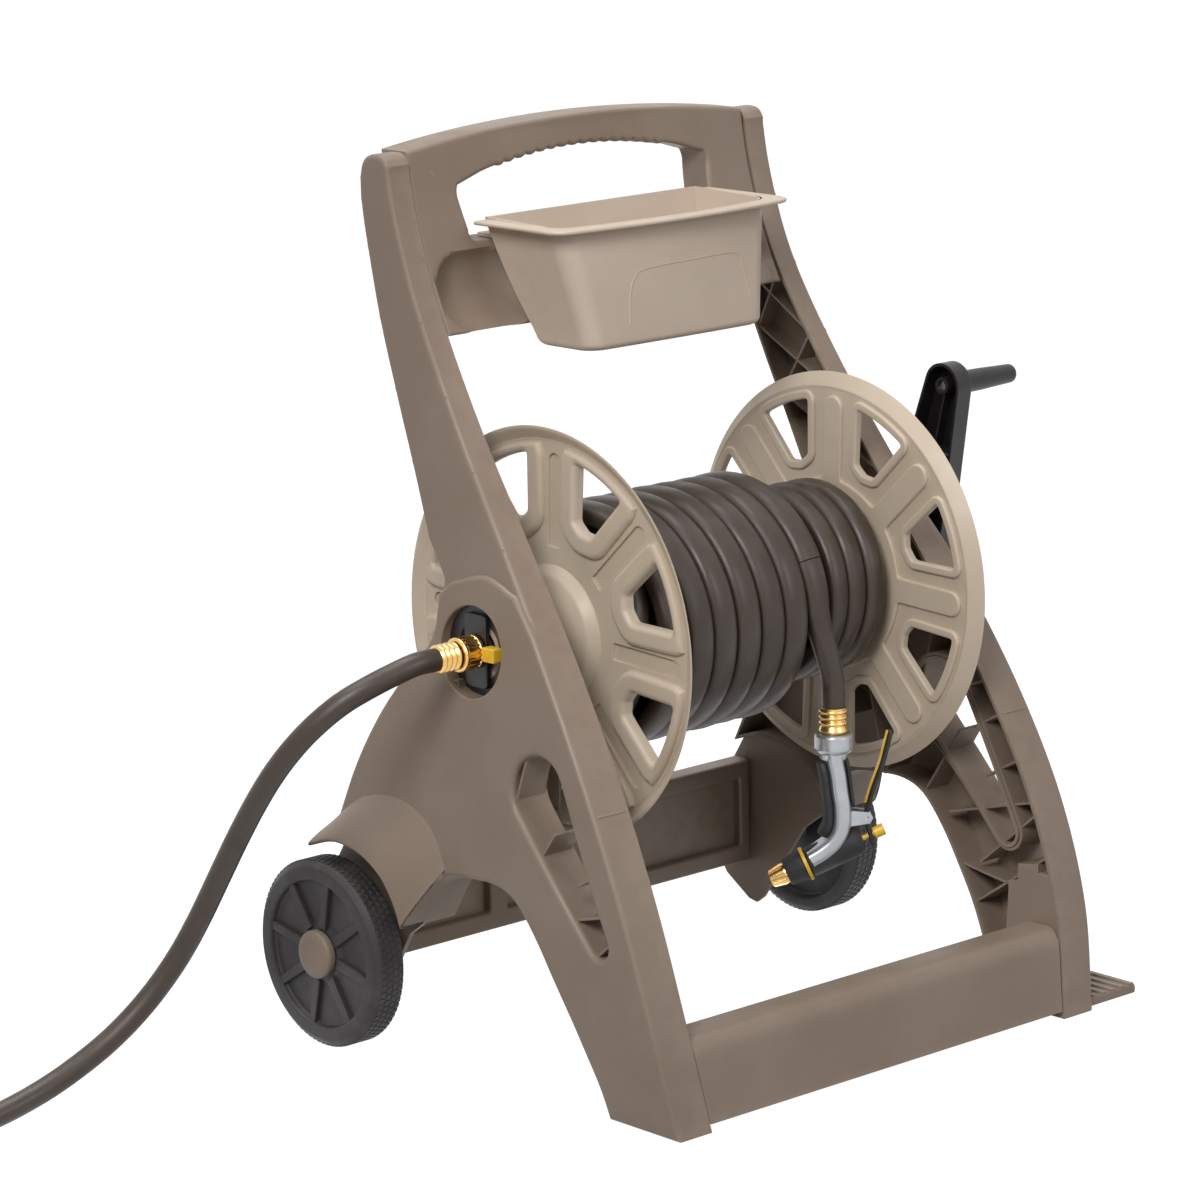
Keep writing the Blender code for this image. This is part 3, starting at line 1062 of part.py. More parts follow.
storage_bin = piece("storage_bin", bin_shell((BIN_FLOOR, BIN_FLOOR + BIN_PLUMB, 0.70, 0.74, BIN_TOP), 0.0), "tan", cart)
rim_plan = [(x, min(y, 0.1215)) for x, y in bin_section(BIN_TOP, RIM_OUT)]
rim = slab(rim_plan, BIN_TOP - 0.003, BIN_TOP + 0.001, "Z")
combine(storage_bin, piece("bin_rim", rim, "tan", cart), "UNION")
hollow_levels = (BIN_FLOOR + 0.0028, BIN_FLOOR + BIN_PLUMB, 0.70, 0.74, BIN_TOP + 0.01)
combine(storage_bin, piece("bin_hollow", bin_shell(hollow_levels, -0.0028), "tan", cart))
back_y = bin_section(BIN_TOP, 0.0)[0][1]
for k, x in enumerate((-0.105, 0.0, 0.105)):
    hook = slab(((back_y - 0.0028, 0.7555), (0.1440, 0.7555), (0.1440, 0.7590), (back_y + 0.0012, 0.7590),
                 (back_y + 0.0002, BIN_TOP + 0.0008), (back_y - 0.0028, BIN_TOP + 0.0008)), x - 0.022, x + 0.022)
    combine(storage_bin, piece("bin_hook_%d" % k, hook, "tan", cart), "UNION")
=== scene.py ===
# Hose reel cart: the looks of the moulded frames, the reel with its wound hose, the bin and the nozzle
import json
import math

import bmesh
import bpy
from mathutils import Matrix, Vector


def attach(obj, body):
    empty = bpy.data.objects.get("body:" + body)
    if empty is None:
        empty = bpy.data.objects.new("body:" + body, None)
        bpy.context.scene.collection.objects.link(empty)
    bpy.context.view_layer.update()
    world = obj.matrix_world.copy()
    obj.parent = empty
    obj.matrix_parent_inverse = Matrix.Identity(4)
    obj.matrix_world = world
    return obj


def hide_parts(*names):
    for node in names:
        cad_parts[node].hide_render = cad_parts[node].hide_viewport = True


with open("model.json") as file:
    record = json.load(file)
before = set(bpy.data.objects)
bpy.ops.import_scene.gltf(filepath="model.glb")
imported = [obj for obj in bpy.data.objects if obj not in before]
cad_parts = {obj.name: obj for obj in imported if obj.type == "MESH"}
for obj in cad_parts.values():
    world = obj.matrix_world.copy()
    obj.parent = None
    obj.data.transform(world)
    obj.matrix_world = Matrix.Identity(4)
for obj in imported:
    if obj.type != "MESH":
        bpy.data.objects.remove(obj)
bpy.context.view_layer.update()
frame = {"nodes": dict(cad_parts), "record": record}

# Where the cart's own axes lie in the frame: reel axis at y = 0, x = 0 midway between the side frames
cartShift = Vector((-0.0335, -0.00055, 0.0))
axisZ = 0.404


# Small maths

def steps(low, high, count):
    return [low + (high - low) * i / count for i in range(count + 1)]


def eased(t):
    return t * t * (3 - 2 * t)


def valueAt(table, z):  # smooth value of a (height, value) table
    i = max(0, min(len(table) - 2, sum(1 for h, _ in table[1:] if h <= z)))
    (z0, v0), (z1, v1) = table[i], table[i + 1]
    before = table[i - 1] if i > 0 else (2 * z0 - z1, 2 * v0 - v1)
    after = table[i + 2] if i + 2 < len(table) else (2 * z1 - z0, 2 * v1 - v0)
    t = min(max((z - z0) / (z1 - z0), 0.0), 1.0)
    m0 = (v1 - before[1]) / (z1 - before[0]) * (z1 - z0)
    m1 = (after[1] - v0) / (after[0] - z0) * (z1 - z0)
    return ((2 * t ** 3 - 3 * t * t + 1) * v0 + (t ** 3 - 2 * t * t + t) * m0
            + (3 * t * t - 2 * t ** 3) * v1 + (t ** 3 - t * t) * m1)


def curved(points, perSpan):  # a smooth curve through the points
    pts = [Vector(p) for p in points]
    ends = [2 * pts[0] - pts[1]] + pts + [2 * pts[-1] - pts[-2]]
    out = []
    for a, b, c, d in zip(ends, ends[1:], ends[2:], ends[3:]):
        for k in range(perSpan):
            t = k / perSpan
            out.append(0.5 * (2 * b + (c - a) * t + (2 * a - 5 * b + 4 * c - d) * t * t
                              + (3 * b - a - 3 * c + d) * t ** 3))
    return out + [pts[-1]]


def evenly(points, spacing):  # the same curve with points a steady distance apart
    fine = curved(points, 24)
    lengths = [0.0]
    for a, b in zip(fine, fine[1:]):
        lengths.append(lengths[-1] + (b - a).length)
    out, i = [], 0
    for wanted in steps(0, lengths[-1], max(1, round(lengths[-1] / spacing))):
        while i < len(fine) - 2 and lengths[i + 1] < wanted:
            i += 1
        t = (wanted - lengths[i]) / (lengths[i + 1] - lengths[i])
        out.append(fine[i].lerp(fine[i + 1], min(max(t, 0.0), 1.0)))
    return out


def arcLoop(centre, radius, start, end, count):
    turns = [math.radians(a) for a in steps(start, end, count)]
    return [Vector((centre[0] + radius * math.cos(a), centre[1] + radius * math.sin(a))) for a in turns]


def circle(centre, radius, count):
    return arcLoop(centre, radius, 0, 360, count)[:-1]


def box(left, right, low, high):
    return [(left, low), (right, low), (right, high), (left, high)]


def oval(wide, high, count, power=2.0):  # squarer as the power grows
    turns = [2 * math.pi * k / count for k in range(count)]
    return [(math.copysign(wide * abs(math.cos(a)) ** (2 / power), math.cos(a)),
             math.copysign(high * abs(math.sin(a)) ** (2 / power), math.sin(a))) for a in turns]


def anticlockwise(loop):
    pts = [Vector(p[:2]) for p in loop]
    pts = [p for p, q in zip(pts, pts[1:] + pts[:1]) if (p - q).length > 1e-5]
    area = sum(a.x * b.y - b.x * a.y for a, b in zip(pts, pts[1:] + pts[:1]))
    return pts if area > 0 else pts[::-1]


def offsetLoop(loop, distance):  # moved inwards by distance, outwards where it is negative
    out = []
    count = len(loop)
    for i in range(count):
        before, here, after = (loop[(i + k) % count] for k in (-1, 0, 1))
        d0, d1 = (here - before).normalized(), (after - here).normalized()
        n0, n1 = Vector((-d0.y, d0.x)), Vector((-d1.y, d1.x))
        middle = (n0 + n1).normalized()
        out.append(here + middle * distance / max(middle.dot(n0), 0.5))
    return out


def bend(before, here, after, reach, count):
    start, end = (here + (p - here).normalized() * reach for p in (before, after))
    return [start.lerp(here, t).lerp(here.lerp(end, t), t) for t in steps(0, 1, count)]


def roundCorners(corners, radius, count=5):  # a polygon with its corners turned into arcs
    out = []
    pts = anticlockwise(corners)
    for before, here, after in zip(pts[-1:] + pts, pts, pts[1:] + pts[:1]):
        a, b = before - here, after - here
        reach = min(radius / math.tan(a.angle(b) / 2), a.length * 0.45, b.length * 0.45)
        out += bend(before, here, after, reach, count)
    return out


# Mesh shapes, in flat coordinates (u, v, depth) until they are mapped

def bridge(bm, one, two):
    count = len(one)
    for k in range(count):
        n = (k + 1) % count
        corners = [one[k], one[n], two[n], two[k]]
        unique = [v for j, v in enumerate(corners) if v not in corners[:j]]
        if len(unique) > 2:
            bm.faces.new(unique)


def capLoops(bm, loops):
    edges = []
    for loop in loops:
        for a, b in zip(loop, loop[1:] + loop[:1]):
            edges.append(bm.edges.get((a, b)) or bm.edges.new((a, b)))
    bmesh.ops.triangle_fill(bm, use_beauty=True, edges=edges)


def lofted(rows):  # a skin over rows of points, closed at both ends
    bm = bmesh.new()
    rings = [[bm.verts.new(p) for p in row] for row in rows]
    for one, two in zip(rings, rings[1:]):
        bridge(bm, one, two)
    capLoops(bm, rings[:1])
    capLoops(bm, rings[-1:])
    return bm


def walled(walls):
    # rings of (inset, depth) round each loop, given as (loop, sign, rings), closed at both ends
    bm = bmesh.new()
    first, last = [], []
    for loop, sign, levels in walls:
        loop = anticlockwise(loop)
        rings = [[bm.verts.new((p.x, p.y, depth)) for p in offsetLoop(loop, sign * inset)]
                 for inset, depth in levels]
        for one, two in zip(rings, rings[1:]):
            bridge(bm, one, two)
        first.append(rings[0])
        last.append(rings[-1])
    capLoops(bm, first)
    capLoops(bm, last)
    return bm


def roundEdge(radius, face, count, way=1):  # (inset, depth) round the edge of a face
    return [(radius * (1 - math.cos(a)), face - way * radius * (1 - math.sin(a)))
            for a in steps(0, math.pi / 2, count)]


def moulding(outline, face, back, wall, edge, holes=()):
    # an open-backed moulding with a rounded face; a hole is (loop, back, edge)
    walls = []
    for loop, depth, radius, sign in [(outline, back, edge, 1)] + [(*hole, -1) for hole in holes]:
        inside = [(wall, face - wall), (wall, depth), (0, depth)]
        walls.append((loop, sign, inside + roundEdge(radius, face, 4)))
    return walled(walls)


def plate(outline, low, high, edge, holes=(), edgeSteps=3, lowEdge=None):
    # a solid plate with its edges rounded
    under = roundEdge(edge if lowEdge is None else lowEdge, low, edgeSteps, -1)[::-1]
    levels = under + roundEdge(edge, high, edgeSteps)
    return walled([(outline, 1, levels)] + [(hole, -1, levels) for hole in holes])


def wallBetween(start, end, thick, low, high):  # a thin rib from one point of the plane to another
    a, b = Vector(start), Vector(end)
    side = Vector((-(b - a).y, (b - a).x)).normalized() * thick / 2
    return plate([a + side, a - side, b - side, b + side], low, high, thick * 0.2, edgeSteps=1)


def lathe(profile, sides, soft=0.0, count=3):  # (along, radius) points spun round X, corners softened
    bm = bmesh.new()
    rings = []
    for along, radius in softProfile(profile, soft, count) if soft else profile:
        if radius < 1e-9:
            rings.append([bm.verts.new((along, 0, 0))] * sides)
        else:
            rings.append([bm.verts.new((along, radius * math.cos(2 * math.pi * k / sides),
                                        radius * math.sin(2 * math.pi * k / sides))) for k in range(sides)])
    for one, two in zip(rings, rings[1:] + rings[:1]):
        bridge(bm, one, two)
    return bm


def softProfile(profile, radius, count):
    pts = [Vector(p) for p in profile]
    out = []
    for before, here, after in zip(pts[-1:] + pts, pts, pts[1:] + pts[:1]):
        a, b = before - here, after - here
        if here.y < 1e-9 or a.length < 1e-9 or b.length < 1e-9:
            out.append(here)
        else:
            out += bend(before, here, after, min(radius, a.length * 0.4, b.length * 0.4), count)
    return [(p.x, p.y) for p in out]


def sweep(path, section, normal):
    # a closed section of (across, along normal) points carried along a path; it may change on the way
    rows = []
    for i, here in enumerate(path):
        before, after = path[max(i - 1, 0)], path[min(i + 1, len(path) - 1)]
        across = (after - before).normalized().cross(normal)
        shape = section(i / (len(path) - 1)) if callable(section) else section
        rows.append([here + across * s + normal * n for s, n in shape])
    return lofted(rows)


def meshOf(bm):
    mesh = bpy.data.meshes.new("shape")
    bmesh.ops.recalc_face_normals(bm, faces=bm.faces)
    bm.to_mesh(mesh)
    bm.free()
    return mesh


def joined(*shapes):
    whole = bmesh.new()
    for shape in shapes:
        mesh = meshOf(shape) if isinstance(shape, bmesh.types.BMesh) else shape
        whole.from_mesh(mesh)
        bpy.data.meshes.remove(mesh)
    return whole


def mapped(bm, rule):
    for v in bm.verts:
        v.co = rule(v.co)
    return bm


def banded(bm, axis, values):  # extra rows of vertices where planes cut across
    normal = Vector([1.0 if k == axis else 0.0 for k in range(3)])
    for value in values:
        everything = bm.verts[:] + bm.edges[:] + bm.faces[:]
        bmesh.ops.bisect_plane(bm, geom=everything, plane_co=normal * value, plane_no=normal, dist=1e-6)
    bmesh.ops.triangulate(bm, faces=[f for f in bm.faces if len(f.verts) > 4])
    return bm


def moved(bm, offset):
    bmesh.ops.translate(bm, verts=bm.verts, vec=offset)
    return bm


def alongX(co):  # flat (u, v, depth) to (depth, u, v)
    return Vector((co.z, co.x, co.y))


def alongY(co):  # flat (u, v, depth) to (u, depth, v)
    return Vector((co.x, co.z, co.y))


def alongZ(co):  # a turned shape's axis stood up
    return Vector((co.y, co.z, co.x))


def atAxis(bm):
    return moved(bm, (0, 0, axisZ))


# Shader groups that the finishes share

def shaderGroup(name, inputs, outputs):
    group = bpy.data.node_groups.new(name, "ShaderNodeTree")
    for label, value in inputs.items():
        made = group.interface.new_socket(name=label, in_out="INPUT", socket_type="NodeSocketFloat")
        made.default_value = value
    for label in outputs:
        group.interface.new_socket(name=label, in_out="OUTPUT", socket_type="NodeSocketFloat")
    return group, group.nodes.new("NodeGroupInput"), group.nodes.new("NodeGroupOutput")


def addNode(tree, kind, values=None, **options):
    made = tree.nodes.new(kind)
    for key, value in options.items():
        setattr(made, key, value)
    for key, value in (values or {}).items():
        if isinstance(value, bpy.types.NodeSocket):
            tree.links.new(value, made.inputs[key])
        else:
            made.inputs[key].default_value = value
    return made


def noiseNode(tree, where, scale, detail, roughness=0.5):
    return addNode(tree, "ShaderNodeTexNoise", {"Vector": where, "Scale": scale, "Detail": detail,
                                                "Roughness": roughness}).outputs[0]


def placeNode(tree):
    return addNode(tree, "ShaderNodeTexCoord").outputs["Object"]


def mathNode(tree, operation, a, b=0.0, clamp=False):
    return addNode(tree, "ShaderNodeMath", {0: a, 1: b}, operation=operation, use_clamp=clamp).outputs[0]


def rangeNode(tree, value, low, high, toLow=0.0, toHigh=1.0):
    made = addNode(tree, "ShaderNodeMapRange", {0: value, 1: low, 2: high, 3: toLow, 4: toHigh},
                   interpolation_type="SMOOTHSTEP")
    return made.outputs[0]


def mouldGrainGroup():  # fine moulded texture, and slow drifts of tone over a whole panel
    tree, given, out = shaderGroup("mouldGrain", {"Fine": 900.0, "Broad": 7.0}, ["Height", "Tone"])
    where = placeNode(tree)
    fine = noiseNode(tree, where, given.outputs["Fine"], 2.0)
    pits = addNode(tree, "ShaderNodeTexVoronoi", {"Vector": where, "Scale": given.outputs["Fine"]})
    broad = noiseNode(tree, where, given.outputs["Broad"], 5.0, 0.62)
    height = mathNode(tree, "ADD", fine, mathNode(tree, "MULTIPLY", pits.outputs["Distance"], 0.5))
    tree.links.new(height, out.inputs["Height"])
    tree.links.new(rangeNode(tree, broad, 0.35, 0.65), out.inputs["Tone"])
    return tree


def maskGroup(name, amount, scale, detail, patches, source, reach):
    # source tells where the mask lies between the two values of reach, and noise breaks it up
    tree, given, out = shaderGroup(name, {"Amount": amount, "Scale": scale}, ["Mask"])
    broken = noiseNode(tree, placeNode(tree), given.outputs["Scale"], detail)
    where, broken = rangeNode(tree, source(tree), *reach), rangeNode(tree, broken, *patches)
    film = mathNode(tree, "MULTIPLY", where, broken)
    tree.links.new(mathNode(tree, "MULTIPLY", film, given.outputs["Amount"], True), out.inputs["Mask"])
    return tree


def facingUp(tree):
    normal = addNode(tree, "ShaderNodeNewGeometry").outputs["Normal"]
    return addNode(tree, "ShaderNodeSeparateXYZ", {0: normal}).outputs["Z"]


def sharpTurn(tree):
    return addNode(tree, "ShaderNodeNewGeometry").outputs["Pointiness"]


def brushedGroup():  # fine scratches round a turned or drawn piece
    tree, given, out = shaderGroup("brushed", {"Scale": 400.0}, ["Height", "Tone"])
    where = placeNode(tree)
    drawn = addNode(tree, "ShaderNodeVectorMath", {0: where, 1: (1.0, 0.08, 0.08)}, operation="MULTIPLY")
    lines = noiseNode(tree, drawn.outputs[0], given.outputs["Scale"], 3.0)
    tree.links.new(lines, out.inputs["Height"])
    tree.links.new(rangeNode(tree, noiseNode(tree, where, 45.0, 3.0), 0.35, 0.65), out.inputs["Tone"])
    return tree


grainGroup, brushGroup = mouldGrainGroup(), brushedGroup()
dustGroup = maskGroup("settledDust", 0.1, 30.0, 4.0, (0.3, 0.7), facingUp, (0.2, 0.95))
# sharp edges found by pointiness are lightened: a painted highlight along the edges, partly edge wear
sheenAndWearGroup = maskGroup("paintedEdgeHighlightAndWear", 0.3, 60.0, 3.0, (0.25, 0.6), sharpTurn, (0.52, 0.62))

# Colours are linear; shade is the deeper tone of the drifts, rough the range of roughness; the edge amount
# lightens sharp edges as a painted highlight and as wear
finishes = {
    "frameBrown": {"color": (0.252, 0.19, 0.145), "shade": (0.226, 0.168, 0.127), "rough": (0.44, 0.56),
                   "fine": 1100, "broad": 6, "bump": 0.16, "edgeSheenAndWear": 0.3, "dust": 0.1},
    "reelTan": {"color": (0.6, 0.5, 0.39), "shade": (0.56, 0.46, 0.352), "rough": (0.4, 0.52),
                "fine": 1300, "broad": 9, "bump": 0.1, "edgeSheenAndWear": 0.2, "dust": 0.06},
    "binTan": {"color": (0.6, 0.495, 0.4), "shade": (0.565, 0.462, 0.37), "rough": (0.45, 0.56),
               "fine": 1000, "broad": 8, "bump": 0.16, "edgeSheenAndWear": 0.2, "dust": 0.05},
    "charcoal": {"color": (0.01, 0.008, 0.0085), "shade": (0.007, 0.0055, 0.006), "rough": (0.3, 0.45),
                 "fine": 1200, "broad": 14, "bump": 0.12, "edgeSheenAndWear": 0.1, "dust": 0.05},
    "wheelBlack": {"color": (0.028, 0.024, 0.026), "shade": (0.018, 0.015, 0.017), "rough": (0.48, 0.66),
                   "fine": 700, "broad": 12, "bump": 0.3, "edgeSheenAndWear": 0.15, "dust": 0.12},
    "hoseBrown": {"color": (0.044, 0.028, 0.019), "shade": (0.034, 0.021, 0.014), "rough": (0.36, 0.5),
                  "fine": 1500, "broad": 18, "bump": 0.14, "edgeSheenAndWear": 0.05, "dust": 0.08},
    "gripBlack": {"color": (0.016, 0.015, 0.017), "shade": (0.011, 0.01, 0.012), "rough": (0.55, 0.72),
                  "fine": 1600, "broad": 25, "bump": 0.35, "edgeSheenAndWear": 0.08, "dust": 0.04},
    "brass": {"color": (0.83, 0.57, 0.24), "shade": (0.7, 0.44, 0.15), "rough": (0.18, 0.32), "metal": 1.0,
              "brush": 900, "bump": 0.1},
    "zinc": {"color": (0.62, 0.62, 0.63), "shade": (0.48, 0.48, 0.49), "rough": (0.25, 0.4), "metal": 1.0,
             "brush": 1200, "bump": 0.12},
    "castSilver": {"color": (0.46, 0.475, 0.5), "shade": (0.4, 0.415, 0.44), "rough": (0.28, 0.4),
                   "metal": 0.75, "fine": 1500, "broad": 25, "bump": 0.08, "edgeSheenAndWear": 0.15, "dust": 0.02},
    "signalYellow": {"color": (0.9, 0.56, 0.045), "shade": (0.82, 0.48, 0.03), "rough": (0.32, 0.44),
                     "fine": 1500, "broad": 30, "bump": 0.08, "edgeSheenAndWear": 0.1, "dust": 0.02},
}
paleDust = (0.42, 0.37, 0.31, 1.0)


def mixColor(tree, factor, a, b):
    return addNode(tree, "ShaderNodeMix", {0: factor, 6: a, 7: b}, data_type="RGBA").outputs[2]


def makeFinish(name):
    look = finishes[name]
    made = bpy.data.materials.new(name)
    made.use_nodes = True
    tree = made.node_tree
    shader = tree.nodes["Principled BSDF"]
    if "brush" in look:
        grain = addNode(tree, "ShaderNodeGroup", node_tree=brushGroup)
        grain.inputs["Scale"].default_value = look["brush"]
    else:
        grain = addNode(tree, "ShaderNodeGroup", node_tree=grainGroup)
        grain.inputs["Fine"].default_value = look["fine"]
        grain.inputs["Broad"].default_value = look["broad"]
    color = mixColor(tree, grain.outputs["Tone"], (*look["shade"], 1.0), (*look["color"], 1.0))
    # the lighter edge colour is a painted edge highlight, partly wear
    sheenAndWornColor = (*(min(1.0, c * 1.5 + 0.02) for c in look["color"]), 1.0)
    for group, key, pale in ((sheenAndWearGroup, "edgeSheenAndWear", sheenAndWornColor), (dustGroup, "dust", paleDust)):
        if look.get(key):
            mask = addNode(tree, "ShaderNodeGroup", node_tree=group)
            mask.inputs["Amount"].default_value = look[key]
            color = mixColor(tree, mask.outputs["Mask"], color, pale)
    tree.links.new(color, shader.inputs["Base Color"])
    tree.links.new(rangeNode(tree, grain.outputs["Tone"], 0.0, 1.0, look["rough"][1], look["rough"][0]),
                   shader.inputs["Roughness"])
    shader.inputs["Metallic"].default_value = look.get("metal", 0.0)
    bump = addNode(tree, "ShaderNodeBump", {"Height": grain.outputs["Height"], "Strength": look["bump"],
                                            "Distance": 0.0004})
    tree.links.new(bump.outputs[0], shader.inputs["Normal"])
    made.diffuse_color = (*look["color"], 1.0)
    return made


paints = {name: makeFinish(name) for name in finishes}
print("finishes made:", len(paints))


# Geometry Nodes: a hose along a line, copies round the reel's axis, copies along a line

def nodeTree(name, *sockets):
    tree = bpy.data.node_groups.new(name, "GeometryNodeTree")
    tree.interface.new_socket(name="Geometry", in_out="INPUT", socket_type="NodeSocketGeometry")
    for label, kind, value in (*sockets, ("Material", "NodeSocketMaterial", None)):
        made = tree.interface.new_socket(name=label, in_out="INPUT", socket_type=kind)
        if value is not None:
            made.default_value = value
    tree.interface.new_socket(name="Geometry", in_out="OUTPUT", socket_type="NodeSocketGeometry")
    return tree, tree.nodes.new("NodeGroupInput"), tree.nodes.new("NodeGroupOutput")


def endTree(tree, given, out, shape):
    real = addNode(tree, "GeometryNodeRealizeInstances", {0: shape})
    painted = addNode(tree, "GeometryNodeSetMaterial", {"Geometry": real.outputs[0]})
    tree.links.new(given.outputs["Material"], painted.inputs["Material"])
    tree.links.new(painted.outputs[0], out.inputs[0])
    return tree


def hoseTree():
    tree, given, out = nodeTree("hoseAlongLine", ("Radius", "NodeSocketFloat", 0.01),
                                ("Sides", "NodeSocketInt", 16))
    line = addNode(tree, "GeometryNodeMeshToCurve", {"Mesh": given.outputs[0]})
    ring = addNode(tree, "GeometryNodeCurvePrimitiveCircle", {"Resolution": given.outputs["Sides"],
                                                              "Radius": given.outputs["Radius"]})
    skin = addNode(tree, "GeometryNodeCurveToMesh",
                   {"Curve": line.outputs[0], "Profile Curve": ring.outputs[0],
                                                     "Fill Caps": True})
    return endTree(tree, given, out, skin.outputs[0])


def copyTree(name, count, extra, lay):
    # copies on the points of a line; lay says how far apart and how turned
    tree, given, out = nodeTree(name, ("Count", "NodeSocketInt", count), extra)
    offset, rotation = lay(tree, given)
    spots = addNode(tree, "GeometryNodeMeshLine", {"Count": given.outputs["Count"], "Offset": offset})
    copies = addNode(tree, "GeometryNodeInstanceOnPoints",
                     {"Points": spots.outputs[0], "Instance": given.outputs[0],
                                                            "Rotation": rotation})
    return endTree(tree, given, out, copies.outputs[0])


def roundAxis(tree, given):
    index = addNode(tree, "GeometryNodeInputIndex").outputs[0]
    share = mathNode(tree, "DIVIDE", index, given.outputs["Count"])
    turned = mathNode(tree, "ADD", mathNode(tree, "MULTIPLY", share, 2 * math.pi), given.outputs["Turn"])
    return (0, 0, 0), addNode(tree, "ShaderNodeCombineXYZ", {0: turned}).outputs[0]


def alongLine(tree, given):
    return given.outputs["Step"], (0, 0, 0)


hoseNodes = hoseTree()
ringNodes = copyTree("copiesRoundAxis", 8, ("Turn", "NodeSocketFloat", 0.0), roundAxis)
rowNodes = copyTree("copiesAlongLine", 5, ("Step", "NodeSocketVector", None), alongLine)


def linked(obj):
    bpy.context.scene.collection.objects.link(obj)
    return obj


def grown(tree, source, values):  # the plain mesh that a node tree makes from a shape
    mesh = meshOf(source) if isinstance(source, bmesh.types.BMesh) else source
    seed = linked(bpy.data.objects.new("seed", mesh))
    mod = seed.modifiers.new(tree.name, "NODES")
    mod.node_group = tree
    for item in tree.interface.items_tree:
        if item.in_out == "INPUT" and item.name in values:
            mod[item.identifier] = values[item.name]
    made = bpy.data.meshes.new_from_object(seed.evaluated_get(bpy.context.evaluated_depsgraph_get()))
    bpy.data.objects.remove(seed)
    made.materials.clear()
    return made


def hoseMesh(points, radius, sides):
    line = bpy.data.meshes.new("line")
    line.from_pydata([tuple(p) for p in points], [(k, k + 1) for k in range(len(points) - 1)], [])
    return grown(hoseNodes, line, {"Radius": radius, "Sides": sides, "Material": paints["hoseBrown"]})


def copiesRound(shape, count, paint, turn=0.0):
    return grown(ringNodes, shape, {"Count": count, "Turn": turn, "Material": paints[paint]})


def copiesInRow(shape, count, step, paint):
    return grown(rowNodes, shape, {"Count": count, "Step": step, "Material": paints[paint]})


def finishPiece(name, shape, paint, body, *nodes, sharp=34, lay=None):
    # a shape in the cart's axes becomes a piece: smooth, painted, riding a body and standing for its nodes
    bm = joined(shape)
    bmesh.ops.remove_doubles(bm, verts=bm.verts, dist=2e-6)
    mesh = meshOf(bm)
    mesh.transform(Matrix.Translation(cartShift) @ (lay or Matrix.Identity(4)))
    mesh.shade_smooth()
    mesh.set_sharp_from_angle(angle=math.radians(sharp))
    mesh.materials.append(paints[paint])
    obj = linked(bpy.data.objects.new(name, mesh))
    even = obj.modifiers.new("evenNormals", "WEIGHTED_NORMAL")
    even.keep_sharp = True
    obj.data = bpy.data.meshes.new_from_object(obj.evaluated_get(bpy.context.evaluated_depsgraph_get()))
    obj.modifiers.clear()
    bpy.data.meshes.remove(mesh)
    obj.data.name = name
    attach(obj, body)
    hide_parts(*nodes)
    return obj


# Camera at the photograph's viewing angle, white surroundings and soft light

cameraPlan = {"spot": (-3.038, -3.24855, 1.4074), "way": (0.6488, 0.7285, -0.2201),
              "roll": math.radians(-1.264),
              "lens": 143.934, "sensor": 36}


def addCamera():
    forward = Vector(cameraPlan["way"]).normalized()
    level = forward.cross(Vector((0, 0, 1))).normalized()
    upward = level.cross(forward)
    roll = cameraPlan["roll"]
    right = level * math.cos(roll) + upward * math.sin(roll)
    up = upward * math.cos(roll) - level * math.sin(roll)
    made = linked(bpy.data.objects.new("camera", bpy.data.cameras.new("camera")))
    made.data.lens = cameraPlan["lens"]
    made.data.sensor_width = cameraPlan["sensor"]
    made.matrix_world = (Matrix.Translation(cameraPlan["spot"])
                         @ Matrix((right, up, -forward)).transposed().to_4x4())
    bpy.context.scene.camera = made


def seenOrLit(tree, seen, lit):  # one shader for what the camera sees of it, another for the light it gives
    path = addNode(tree, "ShaderNodeLightPath")
    direct = mathNode(tree, "MAXIMUM", path.outputs["Is Camera Ray"], path.outputs["Is Transmission Ray"])
    direct = mathNode(tree, "MAXIMUM", direct, path.outputs["Is Glossy Ray"])
    return addNode(tree, "ShaderNodeMixShader", {0: direct, 1: lit, 2: seen}).outputs[0]


lights = {
    "keyLight": {"spot": (-3.1, -1.9, 2.9), "size": 1.5, "power": 112},
    "fillLight": {"spot": (0.6, -3.4, 1.9), "size": 1.6, "power": 24},
    "topLight": {"spot": (-0.2, 0.5, 3.2), "size": 1.8, "power": 46},
}
stagePlan = {"aim": Vector((0, 0, 0.4)), "worldLight": 0.16, "worldColor": (1.0, 0.99, 0.98, 1),
             "floorSize": 14, "floorLow": -0.001, "floorWhite": 1.4,
             "shadowShare": 0.3, "floorColor": (0.8, 0.8, 0.8, 1), "floorGlow": (0.3, 0.29, 0.28, 1)}


def addWorld():
    world = bpy.data.worlds.new("surroundings")
    bpy.context.scene.world = world
    world.use_nodes = True
    tree = world.node_tree
    tree.nodes.clear()
    seen = addNode(tree, "ShaderNodeBackground", {"Color": (1, 1, 1, 1), "Strength": 1.0}).outputs[0]
    lit = addNode(tree, "ShaderNodeBackground", {"Color": stagePlan["worldColor"],
                                                 "Strength": stagePlan["worldLight"]})
    end = addNode(tree, "ShaderNodeOutputWorld")
    tree.links.new(seenOrLit(tree, seen, lit.outputs[0]), end.inputs[0])


